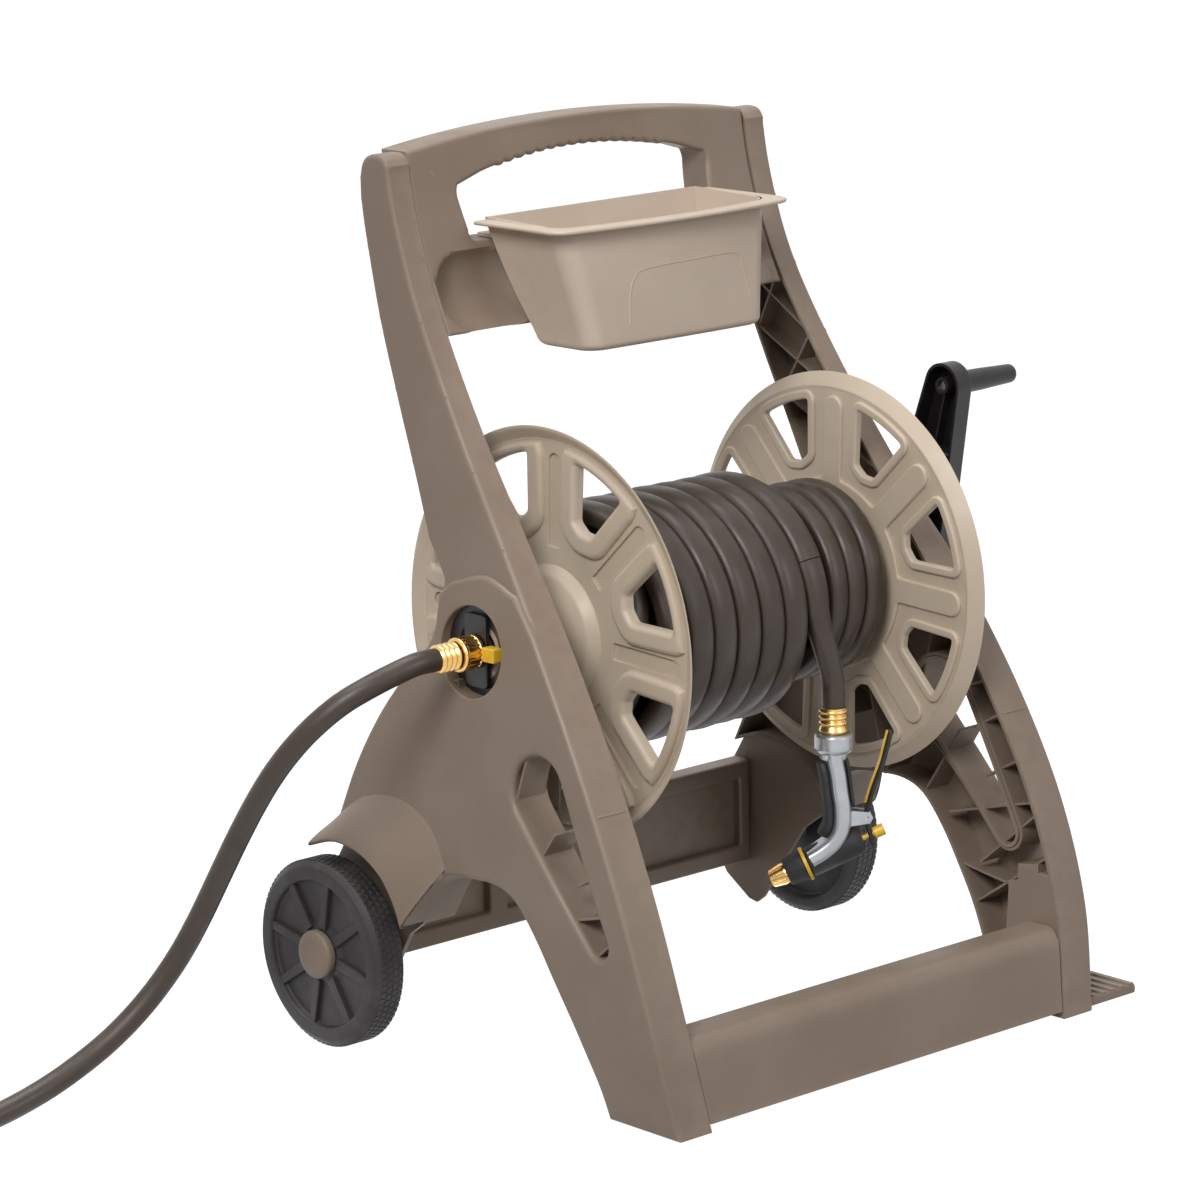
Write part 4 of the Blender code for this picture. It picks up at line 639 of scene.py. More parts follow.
def addFloor():  # seen as white paper that keeps the shadows; other rays meet a dimmer one
    paper = bpy.data.materials.new("paleFloor")
    paper.use_nodes = True
    tree = paper.node_tree
    shader = tree.nodes["Principled BSDF"]
    shader.inputs["Base Color"].default_value = stagePlan["floorColor"]
    shader.inputs["Roughness"].default_value = 0.9
    white = addNode(tree, "ShaderNodeEmission", {"Color": (1, 1, 1, 1), "Strength": stagePlan["floorWhite"]})
    shadowed = addNode(tree, "ShaderNodeMixShader", {0: stagePlan["shadowShare"], 1: white.outputs[0],
                                                     2: shader.outputs[0]})
    dim = addNode(tree, "ShaderNodeBsdfDiffuse", {"Color": stagePlan["floorGlow"]})
    end = tree.nodes["Material Output"]
    tree.links.new(seenOrLit(tree, shadowed.outputs[0], dim.outputs[0]), end.inputs[0])
    bm = bmesh.new()
    bmesh.ops.create_grid(bm, x_segments=8, y_segments=8, size=stagePlan["floorSize"])
    mesh = bpy.data.meshes.new("floor")
    bm.to_mesh(mesh)
    bm.free()
    mesh.materials.append(paper)
    floor = linked(bpy.data.objects.new("floor", mesh))
    floor.location.z = stagePlan["floorLow"]


def addLights():
    for name, look in lights.items():
        lamp = bpy.data.lights.new(name, "AREA")
        lamp.size = look["size"]
        lamp.energy = look["power"]
        made = linked(bpy.data.objects.new(name, lamp))
        made.location = look["spot"]
        made.rotation_euler = (stagePlan["aim"] - made.location).to_track_quat("-Z", "Y").to_euler()


addCamera()
addWorld()
addFloor()
addLights()
bpy.context.scene.view_settings.view_transform = "Standard"


# The hoses: the leader on the ground, the wound turns, and the free end that hangs from them

hosePlan = {
    "wound": 0.107, "under": 0.0845, "core": 0.062, "left": -0.1474, "right": 0.1727, "shownTo": 0.0989,
    "off": 0.064, "tail": (0.0853, -0.107), "plumb": 0.33, "foot": 0.3063, "perTurn": 72, "sides": 24,
    "wide": 0.0149, "underWide": 0.0121, "high": 0.0106, "turns": 7, "footWide": 0.011, "footHigh": 0.0108,
    "leaves": -24.85, "wander": 0.0002, "stub": Vector((0, 0.004, -0.0214)), "coreTurns": 13,
    "leader": ((-0.3133, 0.0, 0.404), (-0.335, 0.0, 0.404), (-0.358, 0.004, 0.398), (-0.383, 0.0095, 0.3895),
               (-0.406, 0.02, 0.377), (-0.4245, 0.034, 0.359), (-0.4375, 0.05, 0.338), (-0.448, 0.068, 0.312),
               (-0.456, 0.0865, 0.282), (-0.4655, 0.105, 0.2455), (-0.475, 0.1235, 0.206),
               (-0.486, 0.141, 0.166),
               (-0.501, 0.157, 0.1285), (-0.525, 0.171, 0.093), (-0.5575, 0.181, 0.0635),
               (-0.597, 0.1875, 0.041),
               (-0.64, 0.19, 0.0255), (-0.69, 0.19, 0.0155), (-0.745, 0.19, 0.0115), (-0.81, 0.19, 0.0113),
               (-0.905, 0.19, 0.0113)),
    "coil": {"centre": (-0.927, 0.0655), "radius": (0.1245, 0.111), "turn": 270.0, "liftFrom": 215.0,
             "ground": 0.0113, "tapEnd": 0.0164},
}


def coilPoint(degrees):
    coil = hosePlan["coil"]
    centre, radius = coil["centre"], coil["radius"]
    a = math.radians(90 + degrees)
    r = radius[0] + (radius[1] - radius[0]) * degrees / coil["turn"]
    t = max(0.0, (degrees - coil["liftFrom"]) / (coil["turn"] - coil["liftFrom"]))
    height = coil["ground"] + (coil["tapEnd"] - coil["ground"]) * eased(t)
    return Vector((centre[0] + r * math.cos(a), centre[1] + r * math.sin(a), height))


def leaderPath():
    turn = hosePlan["coil"]["turn"]
    loop = [coilPoint(d) for d in steps(0, turn, 60)]
    way = coilPoint(turn) - coilPoint(turn - 2)
    way.z = 0
    way.normalize()
    return evenly(hosePlan["leader"], 0.008) + loop + [loop[-1] + way * 0.0214], way


def helixPath(spans, perTurn, wander=0.0):
    # spans are (turns, x from, x to, radius from, to, half width from, to)
    rings, turn = [], 0.0
    for span in spans:
        turns, x0, x1, r0, r1, w0, w1 = span
        count = round(turns * perTurn)
        for k in range(count + 1 if span is spans[-1] else count):
            t = k / count
            a = 2 * math.pi * (turn + turns * t)
            out = Vector((0, math.cos(a), math.sin(a)))
            sway = wander * math.sin(1.7 * a + 0.6)
            lift = wander * (math.sin(2.3 * a + 2.0) + math.sin(0.37 * a + 1.0))
            spot = Vector((x0 + (x1 - x0) * t + sway, 0, axisZ)) + out * (r0 + (r1 - r0) * eased(t) + lift)
            rings.append((spot, out, w0 + (w1 - w0) * eased(t), hosePlan["high"]))
        turn += turns
    return rings


def pressedHose(rings, sides, power=2.5):
    # a hose lying flat: rings are (centre, way out, half width, half height)
    rows = []
    for i, (spot, out, wide, high) in enumerate(rings):
        along = (rings[min(i + 1, len(rings) - 1)][0] - rings[max(i - 1, 0)][0]).normalized()
        across = along.cross(out).normalized()
        up = across.cross(along)
        rows.append([spot + across * s + up * n for s, n in oval(wide, high, sides, power)])
    return lofted(rows)


def freeEnd():
    # from the last turn down to the ferrule: slanting at first, plumb at its foot, rounder as it goes
    plan = hosePlan
    x0, y0, (x1, y1) = plan["off"], -plan["wound"], plan["tail"]
    pitch = (x0 - plan["left"]) / plan["turns"]
    line = []
    for d in steps(plan["leaves"], 0, 12):
        out = Vector((0, -math.cos(math.radians(d)), -math.sin(math.radians(d))))
        line.append((Vector((x0 + pitch * d / 360, 0, axisZ)) + out * plan["wound"], out))
    for z in steps(axisZ - 0.004, plan["foot"], 24):
        t = min((axisZ - z) / (axisZ - plan["plumb"]), 1.0)
        slant = (eased(t) + t) / 2
        line.append((Vector((x0 + (x1 - x0) * slant, y0 + (y1 - y0) * t, z)), Vector((0, -1, 0))))
    rings = []
    for i, (spot, out) in enumerate(line):
        ease = eased(min(1.0, i / ((len(line) - 1) * 0.8)))
        rings.append((spot, out, plan["wide"] + (plan["footWide"] - plan["wide"]) * ease,
                      plan["high"] + (plan["footHigh"] - plan["high"]) * ease))
    return rings


def hoses():
    plan = hosePlan
    left, right, under, wound = plan["left"], plan["right"], plan["under"], plan["wound"]
    thin, wide, shown, off, around = (plan[k] for k in ("underWide", "wide", "shownTo", "off", "perTurn"))
    climbed = left + (off - left) * 0.5 / plan["turns"]
    spans = ((3, right, shown, under, under, thin, thin), (1.5, shown, left, under, under, thin, thin),
             (0.5, left, climbed, under, wound, thin, wide),
             (plan["turns"] - 0.5, climbed, off, wound, wound, wide, wide))
    turns = helixPath(spans, around, plan["wander"])[:-round(around * 23 / 360)]
    start, *rest = turns[0]
    turns.insert(0, (start + plan["stub"], *rest))
    inner = plan["core"]
    core = helixPath(((plan["coreTurns"], left + 0.004, right - 0.004, inner, inner, thin, thin),), 32)
    wrapped = joined(pressedHose(turns, plan["sides"]), pressedHose(core, 10))
    finishPiece("woundHose", wrapped, "hoseBrown", "reel", "hose_winding", "hose_core")
    free = freeEnd()
    made = finishPiece("freeHose", pressedHose(free, plan["sides"], 2.15), "hoseBrown", "frame", "hose_tail")
    tailCord = {"piece": made, "path": [ring[0] + cartShift for ring in free]}

    path, way = leaderPath()
    leader = hoseMesh(path, 0.0108, 24)
    made = finishPiece("leaderHose", leader, "hoseBrown", "frame", "leader_hose", "leader_coil")
    return tailCord, {"piece": made, "path": [p + cartShift for p in path]}, path[-1], way


def lengthOf(path):
    return sum((b - a).length for a, b in zip(path, path[1:]))


tailCord, leaderCord, tapSpot, tapWay = hoses()
print("hoses made:", round(lengthOf(tailCord["path"]), 4), round(lengthOf(leaderCord["path"]), 4))


# Side frames: hollow mouldings drawn flat as (y, z, outward) and then laid on the splayed legs

frameOuter = ((0.0, 0.2675), (0.1, 0.279), (0.2, 0.281), (0.3, 0.276), (0.4, 0.267), (0.5, 0.2565),
              (0.6, 0.2465),
              (0.7, 0.24), (0.85, 0.24))
frameSlim = ((0.0, 1.0), (0.36, 1.0), (0.62, 0.73), (0.85, 0.73))
frontLine = ((0.0, -0.268), (0.1, -0.2485), (0.2, -0.215), (0.3, -0.1655), (0.4, -0.103), (0.5, -0.033),
             (0.6, 0.038),
             (0.7, 0.0975), (0.78, 0.127), (0.85, 0.141))
frameLines = {
    "postTop": ((0.1365, 0.832), (0.1415, 0.839), (0.15, 0.842), (0.164, 0.841), (0.1735, 0.834),
                (0.178, 0.82)),
    "postRear": ((0.178, 0.8), (0.172, 0.762), (0.155, 0.69), (0.127, 0.618), (0.096, 0.548), (0.074, 0.497)),
    "bodyRear": ((0.049, 0.463), (0.055, 0.411), (0.086, 0.375), (0.124, 0.329), (0.157, 0.276),
                 (0.184, 0.217)),
    "lip": ((0.198, 0.191), (0.17, 0.2), (0.149, 0.2015), (0.12, 0.196), (0.092, 0.18), (0.074, 0.157),
            (0.066, 0.136)),
    "ridge": ((0.184, 0.217), (0.168, 0.231), (0.145, 0.245), (0.11, 0.2525), (0.075, 0.249), (0.044, 0.231),
              (0.026, 0.198)),
    "arch": ((0.047, 0.166), (0.029, 0.1885), (-0.01, 0.1945), (-0.044, 0.1945), (-0.07, 0.184),
             (-0.095, 0.156),
             (-0.118, 0.121), (-0.139, 0.087), (-0.156, 0.054), (-0.168, 0.028), (-0.177, 0.0)),
    "shoulder": ((-0.055, 0.462), (-0.012, 0.475), (0.034, 0.463)),
    "axlePlate": ((0.088, 0.128), (0.111, 0.112), (0.141, 0.068), (0.164, 0.03), (0.173, 0.023),
                  (0.184, 0.025),
                  (0.219, 0.045), (0.228, 0.055), (0.226, 0.15)),
    "socket": ((-0.266, 0.0008), (-0.184, 0.0008), (-0.184, 0.118), (-0.196, 0.121), (-0.196, 0.137),
               (-0.222, 0.141),
               (-0.222, 0.133), (-0.237, 0.133)),
}
axleSpot = (0.1785, 0.0906)
frameDeep, plateauHigh, fenderHigh, hubHole = 0.037, 0.005, 0.031, 0.042


def frontAt(z):
    return valueAt(frontLine, z)


def frontPoints(low, high):
    return [(frontAt(z), z) for z in steps(low, high, round((high - low) / 0.01))]


def onLeg(side):
    def across(co):
        return side * (valueAt(frameOuter, co.y) + co.z * valueAt(frameSlim, co.y))
    return lambda co: Vector((across(co), co.x, co.y))


def taperLoop(one, oneRadius, two, twoRadius, count=16):  # outline round two circles of different size
    a, b = Vector(one), Vector(two)
    heading = math.degrees(math.atan2(b.y - a.y, b.x - a.x))
    lean = math.degrees(math.acos((oneRadius - twoRadius) / (b - a).length))
    return (arcLoop(b, twoRadius, heading - lean, heading + lean, count)
            + arcLoop(a, oneRadius, heading + lean, heading - lean + 360, count * 2))


def flatLathe(profile, centre, soft):  # a turned shape whose axis stands on the flat drawing
    return mapped(lathe(profile, 40, soft), lambda co: Vector((co.y + centre[0], co.z + centre[1], co.x)))


def slotLoop(grow=0.0):
    return taperLoop((-0.098, 0.29), 0.0335 + grow, (-0.181, 0.166), 0.012 + grow)


fenderPlan = {"soft": 0.0045, "thick": 0.003, "bulge": 1.3, "endWall": 0.45}


def fenderShell():
    soft, thick = fenderPlan["soft"], fenderPlan["thick"]
    rows, shapes = [], []
    for lip, ridge in zip(curved(frameLines["lip"], 4), curved(frameLines["ridge"], 4)):
        span = (lip - ridge).length
        way = (lip - ridge) / span
        rise = fenderHigh - plateauHigh
        top = [(s * (span - soft), plateauHigh - 0.0006 + rise * (1 - (1 - s) ** fenderPlan["bulge"]))
               for s in steps(0, 1, 10)]
        turn = [(span - soft + soft * math.sin(a), fenderHigh - 0.0004 - soft * (1 - math.cos(a)))
                for a in steps(0.2, math.pi / 2, 4)]
        under = [(s - thick * 0.3, t - thick) for s, t in top[::-1]]
        under = [(span - thick, fenderHigh - soft - 0.001)] + under
        flat = top + turn + [(span, -frameDeep), (span - thick, -frameDeep)] + under
        rows.append([(*(ridge + way * s), t) for s, t in flat])
        shapes.append([(ridge + way * s, t) for s, t in top + turn + [(span, -frameDeep), (0, -frameDeep)]])
    walls = []
    for outer, inner in ((shapes[0], shapes[1]), (shapes[-1], shapes[-2])):  # the two end walls
        walls.append(lofted([[(*p.lerp(q, k), t) for (p, t), (q, _) in zip(outer, inner)]
                             for k in (0.0, fenderPlan["endWall"])]))
    return joined(lofted(rows), *walls)


postBackLine = ((0.49, 0.071), (0.548, 0.096), (0.618, 0.127), (0.69, 0.155), (0.762, 0.172))
lowRibs = (((-0.213, 0.2), (-0.1, 0.17)), ((-0.196, 0.24), (-0.15, 0.215)), ((-0.232, 0.15), (-0.14, 0.088)),
           ((-0.246, 0.105), (-0.118, 0.122)), ((-0.218, 0.19), (-0.143, 0.128)),
           ((-0.176, 0.283), (-0.137, 0.262)),
           ((-0.118, 0.205), (-0.06, 0.26)), ((-0.06, 0.26), (-0.012, 0.193)),
           ((-0.012, 0.193), (0.022, 0.372)),
           ((0.03, 0.246), (0.118, 0.33)), ((-0.06, 0.26), (-0.1, 0.398)), ((0.022, 0.372), (0.083, 0.372)),
           ((-0.155, 0.312), (-0.125, 0.3)), ((-0.07, 0.188), (-0.118, 0.256)))


def frameRibs():  # crossed ribs up the post, and single ones in the leg
    ribs = []
    heights = steps(0.5, 0.82, 5)
    for low, high in zip(heights, heights[1:]):
        front = {z: (frontAt(z) + 0.002, z) for z in (low, high)}
        back = {z: (valueAt(postBackLine, z) - 0.002, z) for z in (low, high)}
        ribs += [(front[low], back[high]), (back[low], front[high])]
    return [wallBetween(a, b, 0.0024, -0.033, -0.001) for a, b in ribs + list(lowRibs)]


def footStep():
    tread = plate(roundCorners(box(0.262, 0.34, 0.0004, 0.009), 0.0025, 3), -0.261, -0.179, 0.0012)
    ridge = plate([(0.0, 0.0), (-0.0075, 0.0), (-0.0066, 0.002), (-0.0009, 0.002)], -0.2604, -0.1796, 0.0005,
                  edgeSteps=2)
    ridges = copiesInRow(moved(ridge, (0.3385, 0.0088, 0)), 5, (-0.013, 0, 0), "frameBrown")
    return mapped(joined(tread, ridges), alongY)


def sideFrame(side, name, node):
    lines = {key: curved(points, 4) for key, points in frameLines.items()}
    below = lines["lip"] + lines["arch"]
    body = frontPoints(0, 0.825) + lines["postTop"] + lines["postRear"] + lines["bodyRear"] + below
    raised = frontPoints(0, 0.43) + lines["shoulder"] + lines["bodyRear"][1:] + below
    hubAt, axle = (0.0, axisZ), Vector(axleSpot)
    bodyHoles = [(slotLoop(0.004), -frameDeep + 0.002, 0.0005),
                 (circle(hubAt, hubHole + 0.004, 56), -frameDeep + 0.002, 0.0005)]
    raisedHoles = [(slotLoop(), -frameDeep, 0.0065), (circle(hubAt, hubHole, 64), -frameDeep, 0.0022)]
    lip = curved([Vector(p) + (Vector(p) - axle).normalized() * 0.0012 for p in frameLines["lip"]], 4)
    socket = [Vector((max(y, frontAt(z) + 0.0012), z)) for y, z in frameLines["socket"]]
    socket += [Vector((frontAt(z) + 0.0012, z)) for z in steps(0.12, 0.012, 9)]
    boss = [(-0.0185, 0.0067), (-0.0185, 0.013), (0.0015, 0.013), (0.0015, 0.0067)]
    shapes = [
        moulding(body, 0.0, -frameDeep, 0.003, 0.0055, bodyHoles),
        moulding(offsetLoop(anticlockwise(raised), -0.0003), plateauHigh, -frameDeep + 0.0005, 0.0034, 0.0045,
                 raisedHoles),
        fenderShell(),
        plate(lip + list(frameLines["axlePlate"]), -0.0235, -0.018, 0.001, edgeSteps=2),
        flatLathe(boss, axleSpot, 0.001),
        plate(socket, -frameDeep, -0.002, 0.0008, edgeSteps=1),
    ] + frameRibs()
    flat = banded(joined(*shapes), 1, steps(0.012, 0.828, 68))
    shape = mapped(flat, onLeg(side))
    if side > 0:
        shape = joined(shape, footStep())
    return finishPiece(name, shape, "frameBrown", "frame", node, sharp=30)


sideFrame(-1, "leftSideFrame", "left_side_frame")
sideFrame(1, "rightSideFrame", "right_side_frame")
print("side frames made")


# Handle panel, drawn flat as (x, z, forward) and then leaned with the posts

panelPlan = {"half": 0.2125, "low": 0.677, "top": 0.858, "crown": 0.015, "deep": 0.036, "scallop": 0.0022,
             "pitch": 0.0135, "scoopAt": 0.156, "scoopHigh": 0.711, "scoopRadius": 0.045, "sunk": 0.025}


def handHole():
    def grip(x):
        reach = max(0.0, min(1.0, (0.112 - abs(x)) / 0.012))
        return (0.8305 - 0.016 * (x / 0.13) ** 2
                - panelPlan["scallop"] * reach * abs(math.sin(math.pi * x / panelPlan["pitch"])))
    window = [Vector((x, grip(x))) for x in steps(0.125, -0.125, 180)]
    window += arcLoop((-0.1405, 0.798), 0.017, 150, 185, 8) + [Vector((-0.1525, 0.766))]
    window += arcLoop((-0.1435, 0.7645), 0.0095, 190, 270, 8) + arcLoop((0.1435, 0.7645), 0.0095, 270, 350, 8)
    return window + [Vector((0.1525, 0.766))] + arcLoop((0.1405, 0.798), 0.017, -5, 30, 8)


def scoopDepth(x, z):
    plan = panelPlan
    across = abs(abs(x) - plan["scoopAt"]) / 0.051
    if across >= 1:
        return 0.0
    radius = plan["scoopRadius"] * (1 - max(0.0, across - 0.3) ** 2 * 1.25) ** 0.5
    inside = radius ** 2 - (z - plan["scoopHigh"]) ** 2
    return max(0.0, math.sqrt(max(inside, 0.0)) - plan["sunk"])


def handlePanel():
    plan = panelPlan
    half, low, deep = plan["half"], plan["low"], plan["deep"]
    outline = [Vector((x, plan["top"] - plan["crown"] * (x / half) ** 2)) for x in steps(half, -half, 60)]
    outline += [Vector((-half, low)), Vector((half, low))]
    shell = moulding(outline, 0.0, -deep, 0.003, 0.0035, [(handHole(), -deep, 0.0048)])
    banded(shell, 0, steps(-0.204, 0.204, 136))
    banded(shell, 1, steps(0.68, 0.758, 26) + steps(0.77, 0.85, 8))
    for v in shell.verts:
        if v.co.z > -0.0045:
            v.co.z -= scoopDepth(v.co.x, v.co.y)
    ribs = [wallBetween((x, low + 0.002), (x, 0.752), 0.0025, -0.028, -0.002) for x in (-0.06, 0.06)]
    tongues = [plate(box(x - 0.0085, x + 0.0085, 0.7, 0.812), -0.03, -0.0065, 0.001)
               for x in (-0.2195, 0.2195)]
    flat = banded(joined(shell, *ribs, *tongues), 1, steps(0.7, 0.85, 15))
    leaned = mapped(flat, lambda co: Vector((co.x, frontAt(co.y) + 0.001 - co.z, co.y)))
    return finishPiece("handlePanel", leaned, "frameBrown", "frame", "handle_panel", sharp=38)


handlePanel()
print("handle panel made")


# Storage bin

binPlan = {"top": 0.773, "floor": 0.6575, "wall": 0.0028, "rimOut": 0.0166, "rimBack": 0.1215, "plumb": 0.012,
           "soft": 0.007, "half": (0.113, 0.0205), "front": (0.003, 0.005), "bow": (0.001, 0.009),
           "corner": (0.018, 0.004), "rimEdge": 0.0019}


def binRise(z):  # how far up the leaning part of the walls
    low = binPlan["floor"] + binPlan["plumb"]
    return max(0.0, (z - low) / (binPlan["top"] - low))


def binSizes(z):
    # half width, front, bow and corner, each from its value at the floor and its growth to the top
    return [binPlan[key][0] + binPlan[key][1] * binRise(z) for key in ("half", "front", "bow", "corner")]


def binSection(z, grow=0.0):
    half, front, bow, corner = binSizes(z)
    half, front = half + grow, front - grow
    back = frontAt(z) - 0.0005 + min(grow, 0.0)
    left = [Vector((-half, back))]
    left += [Vector((-half + corner * (1 - math.cos(a)), front + bow + corner * (1 - math.sin(a))))
             for a in steps(0.0, math.pi / 2, 10)]
    reach = half - corner
    middle = [Vector((x, front + bow * (x / reach) ** 2)) for x in steps(-reach, reach, 16)[1:-1]]
    return left + middle + [Vector((-p.x, p.y)) for p in left[::-1]]


def binFront(x, z):
    half, front, bow, corner = binSizes(z)
    return front + bow * (x / (half - corner)) ** 2


def binShell():
    floor, top, wall, soft = binPlan["floor"], binPlan["top"], binPlan["wall"], binPlan["soft"]
    levels = [(floor + soft * (1 - math.sin(a)), -soft * (1 - math.cos(a))) for a in steps(math.pi / 2, 0, 5)]
    levels += [(z, 0.0) for z in steps(floor + soft, top + 0.0008, 12)[1:]]
    levels += [(z, -wall) for z in steps(top + 0.0008, floor + soft, 10)[:-1]]
    levels += [(floor + wall + soft * 0.7 * (1 - math.sin(a)), -wall - soft * 0.7 * (1 - math.cos(a)))
               for a in steps(0, math.pi / 2, 4)]
    bm = lofted([[(p.x, p.y, z) for p in binSection(z, grow)] for z, grow in levels])
    for v in bm.verts:  # the back wall stands a little above the rim
        if v.co.z > top - 0.001 and v.co.y > 0.1:
            v.co.z += 0.002
    return bm


def binRim():
    top, edge = binPlan["top"], binPlan["rimEdge"]
    rows = []
    inside, outside = ([Vector((p.x, min(p.y, binPlan["rimBack"]))) for p in binSection(top, grow)]
                       for grow in (-0.0012, binPlan["rimOut"]))
    for near, far in zip(inside, outside):
        way = (far - near).normalized()
        flat = [(near, top - 0.003), (far - way * edge, top - 0.003)]
        flat += [(far - way * edge * (1 - math.cos(a)), top - 0.0011 + edge * math.sin(a))
                 for a in steps(-math.pi / 2, math.pi / 2, 6)]
        rows.append([(*p, z) for p, z in flat + [(near, top + 0.0008)]])
    return lofted(rows)


raisedSpots = ((-0.063, 0.679), (-0.061, 0.702), (-0.055, 0.72), (-0.04, 0.728), (0.02, 0.73),
               (0.07, 0.73), (0.082, 0.724), (0.086, 0.71), (0.094, 0.679))


def raisedLine():  # the thin border moulded on the bin's front
    flat = evenly([(x, z, 0) for x, z in raisedSpots], 0.003)
    path = [Vector((p.x, binFront(p.x, p.y) - 0.0002, p.y)) for p in flat]
    return sweep(path, oval(0.0008, 0.0006, 8), Vector((0, -1, 0)))


def storageBin():
    back = binSection(binPlan["top"])[0].y
    hook = plate([(back - 0.0028, 0.7555), (0.144, 0.7555), (0.144, 0.759), (back + 0.0012, 0.759),
                  (back + 0.0002, 0.7738), (back - 0.0028, 0.7738)], -0.127, -0.083, 0.0006)
    hooks = copiesInRow(mapped(hook, alongX), 3, (0.105, 0, 0), "binTan")
    whole = joined(binShell(), binRim(), raisedLine(), hooks)
    return finishPiece("storageBin", whole, "binTan", "bin", "storage_bin", sharp=40)


storageBin()
print("bin made")


# Cross members

barPlan = {"half": 0.2409, "low": 0.007, "crownAt": 0.0725, "splayFrom": 0.2, "splayTop": 0.0945,
           "splay": 0.1185}
barCrown = ((-0.2516, 0.0765), (-0.2495, 0.0798), (-0.2466, 0.0824), (-0.2425, 0.0842), (-0.2365, 0.085),
            (-0.217, 0.085), (-0.2143, 0.0843), (-0.2135, 0.0825), (-0.2135, 0.045), (-0.2165, 0.045),
            (-0.2165, 0.0812), (-0.2365, 0.0817), (-0.243, 0.08))


def frontBar():
    plan = barPlan
    face = [Vector((frontAt(z), z)) for z in steps(plan["low"], plan["crownAt"], 8)]
    inner = [Vector((frontAt(z) + 0.0032, z)) for z in steps(plan["crownAt"], plan["low"], 8)]
    whole = face + [Vector(p) for p in barCrown] + inner
    shapes = [plate(whole, -plan["half"], plan["half"], 0.0006, edgeSteps=1)]
    ends = [(side * 0.2389, 0.0017, 0.009) for side in (-1, 1)]
    for x, half, rear in ends + [(x, 0.00125, 0.047) for x in (-0.16, 0, 0.16)]:
        web = [Vector((frontAt(z) + 0.001, z)) for z in (0.01, 0.037, 0.066)]
        web += [Vector((-0.2425, 0.083)), Vector((-0.215, 0.083)), Vector((-0.215, rear))]
        shapes.append(plate(web, x - half, x + half, 0.0003, edgeSteps=1))
    bar = mapped(joined(*shapes), alongX)
    banded(bar, 0, steps(-plan["splayFrom"], plan["splayFrom"], 20))
    for v in bar.verts:
        if abs(v.co.x) > plan["splayFrom"]:
            v.co.x -= math.copysign((plan["splayTop"] - v.co.z) * plan["splay"], v.co.x)
    return finishPiece("frontCrossBar", bar, "frameBrown", "frame", "front_cross_bar")


def rearBeam():
    windows = [roundCorners(box(a, b, 0.082, 0.152), 0.004)
               for a, b in ((-0.24, -0.096), (-0.074, 0.074), (0.096, 0.24))]
    shell = plate(box(-0.2537, 0.2537, 0.064, 0.17), 0.187, 0.211, 0.003, windows)
    web = plate(box(-0.246, 0.246, 0.078, 0.158), 0.197, 0.201, 0.0004, edgeSteps=1)
    beam = mapped(joined(shell, web), alongY)
    return finishPiece("rearCrossBeam", beam, "frameBrown", "frame", "rear_cross_beam")


frontBar()
rearBeam()
print("cross members made")


# Reel: two flanges with raised spokes, their rolled rims and hubs, the wheels and the crank

flangePlan = {
    "radius": 0.196, "plate": 0.181, "windows": 8, "outer": 0.17, "side": 0.0325, "shoulder": 0.1165,
    "tip": 0.112,
    "ringHigh": 0.004, "ringWide": 0.0085, "starHigh": 0.0035, "starDisc": 0.094, "padHalf": 0.0125,
    "padEnd": 0.1625,
    "turn": math.radians(2.4), "lip": 0.0075, "rollWide": 0.021, "rollHigh": 0.0062, "rollSoft": 0.0058,
    "rollReach": 0.1805, "rimStart": 0.18, "bore": 0.056, "tongueStart": 0.082, "grooveHalf": 0.008,
    "square": (0.011, 0.26, 0.296),
    "left": {"plate": (-0.1705, -0.167), "outward": -1,
             "hub": [(-0.167, 0.017), (-0.167, 0.066), (-0.171, 0.066), (-0.1805, 0.058), (-0.1945, 0.028),
                     (-0.256, 0.028), (-0.256, 0.017)]},
    "right": {"plate": (0.1895, 0.193), "outward": 1,
              "hub": [(0.1895, 0.0), (0.1895, 0.066), (0.1935, 0.066), (0.201, 0.058), (0.211, 0.028),
                      (0.262, 0.028), (0.262, 0.0)]},
}


def windowLoop(grow=0.0):  # one window of a flange, lying about the u axis
    plan = flangePlan
    eighth = math.pi / plan["windows"]
    outer = eighth - math.asin(plan["side"] / plan["outer"]) - 0.01
    inner = eighth - math.asin(plan["side"] / plan["shoulder"])
    corners = [(plan["outer"], a) for a in steps(-outer, outer, 8)]
    corners += [(plan["shoulder"], inner), (plan["tip"], 0.0), (plan["shoulder"], -inner)]
    loop = roundCorners([(r * math.cos(a), r * math.sin(a)) for r, a in corners], 0.0065, 5)
    return offsetLoop(anticlockwise(loop), -grow) if grow else loop


def turnedLoop(loop, angle):
    c, s = math.cos(angle), math.sin(angle)
    return [Vector((p.x * c - p.y * s, p.x * s + p.y * c)) for p in loop]


def tongueLoop(start, half):  # one tongue along the u axis, open towards the axle
    tip = arcLoop((flangePlan["padEnd"], 0), half, -90, 90, 12)
    return [Vector((start, -half))] + tip + [Vector((start, half))]


def starLoop():  # the raised disc with a tongue along each spoke
    plan = flangePlan
    half, disc = plan["padHalf"], plan["starDisc"]
    gap = math.asin(half / disc)
    loop = []
    for k in range(plan["windows"]):
        between = [Vector((disc * math.cos(a), disc * math.sin(a)))
                   for a in steps(gap, math.pi / 4 - gap, 6)[1:-1]]
        loop += turnedLoop(tongueLoop(disc * math.cos(gap), half) + between, k * math.pi / 4)
    return roundCorners(loop, 0.006, 4)


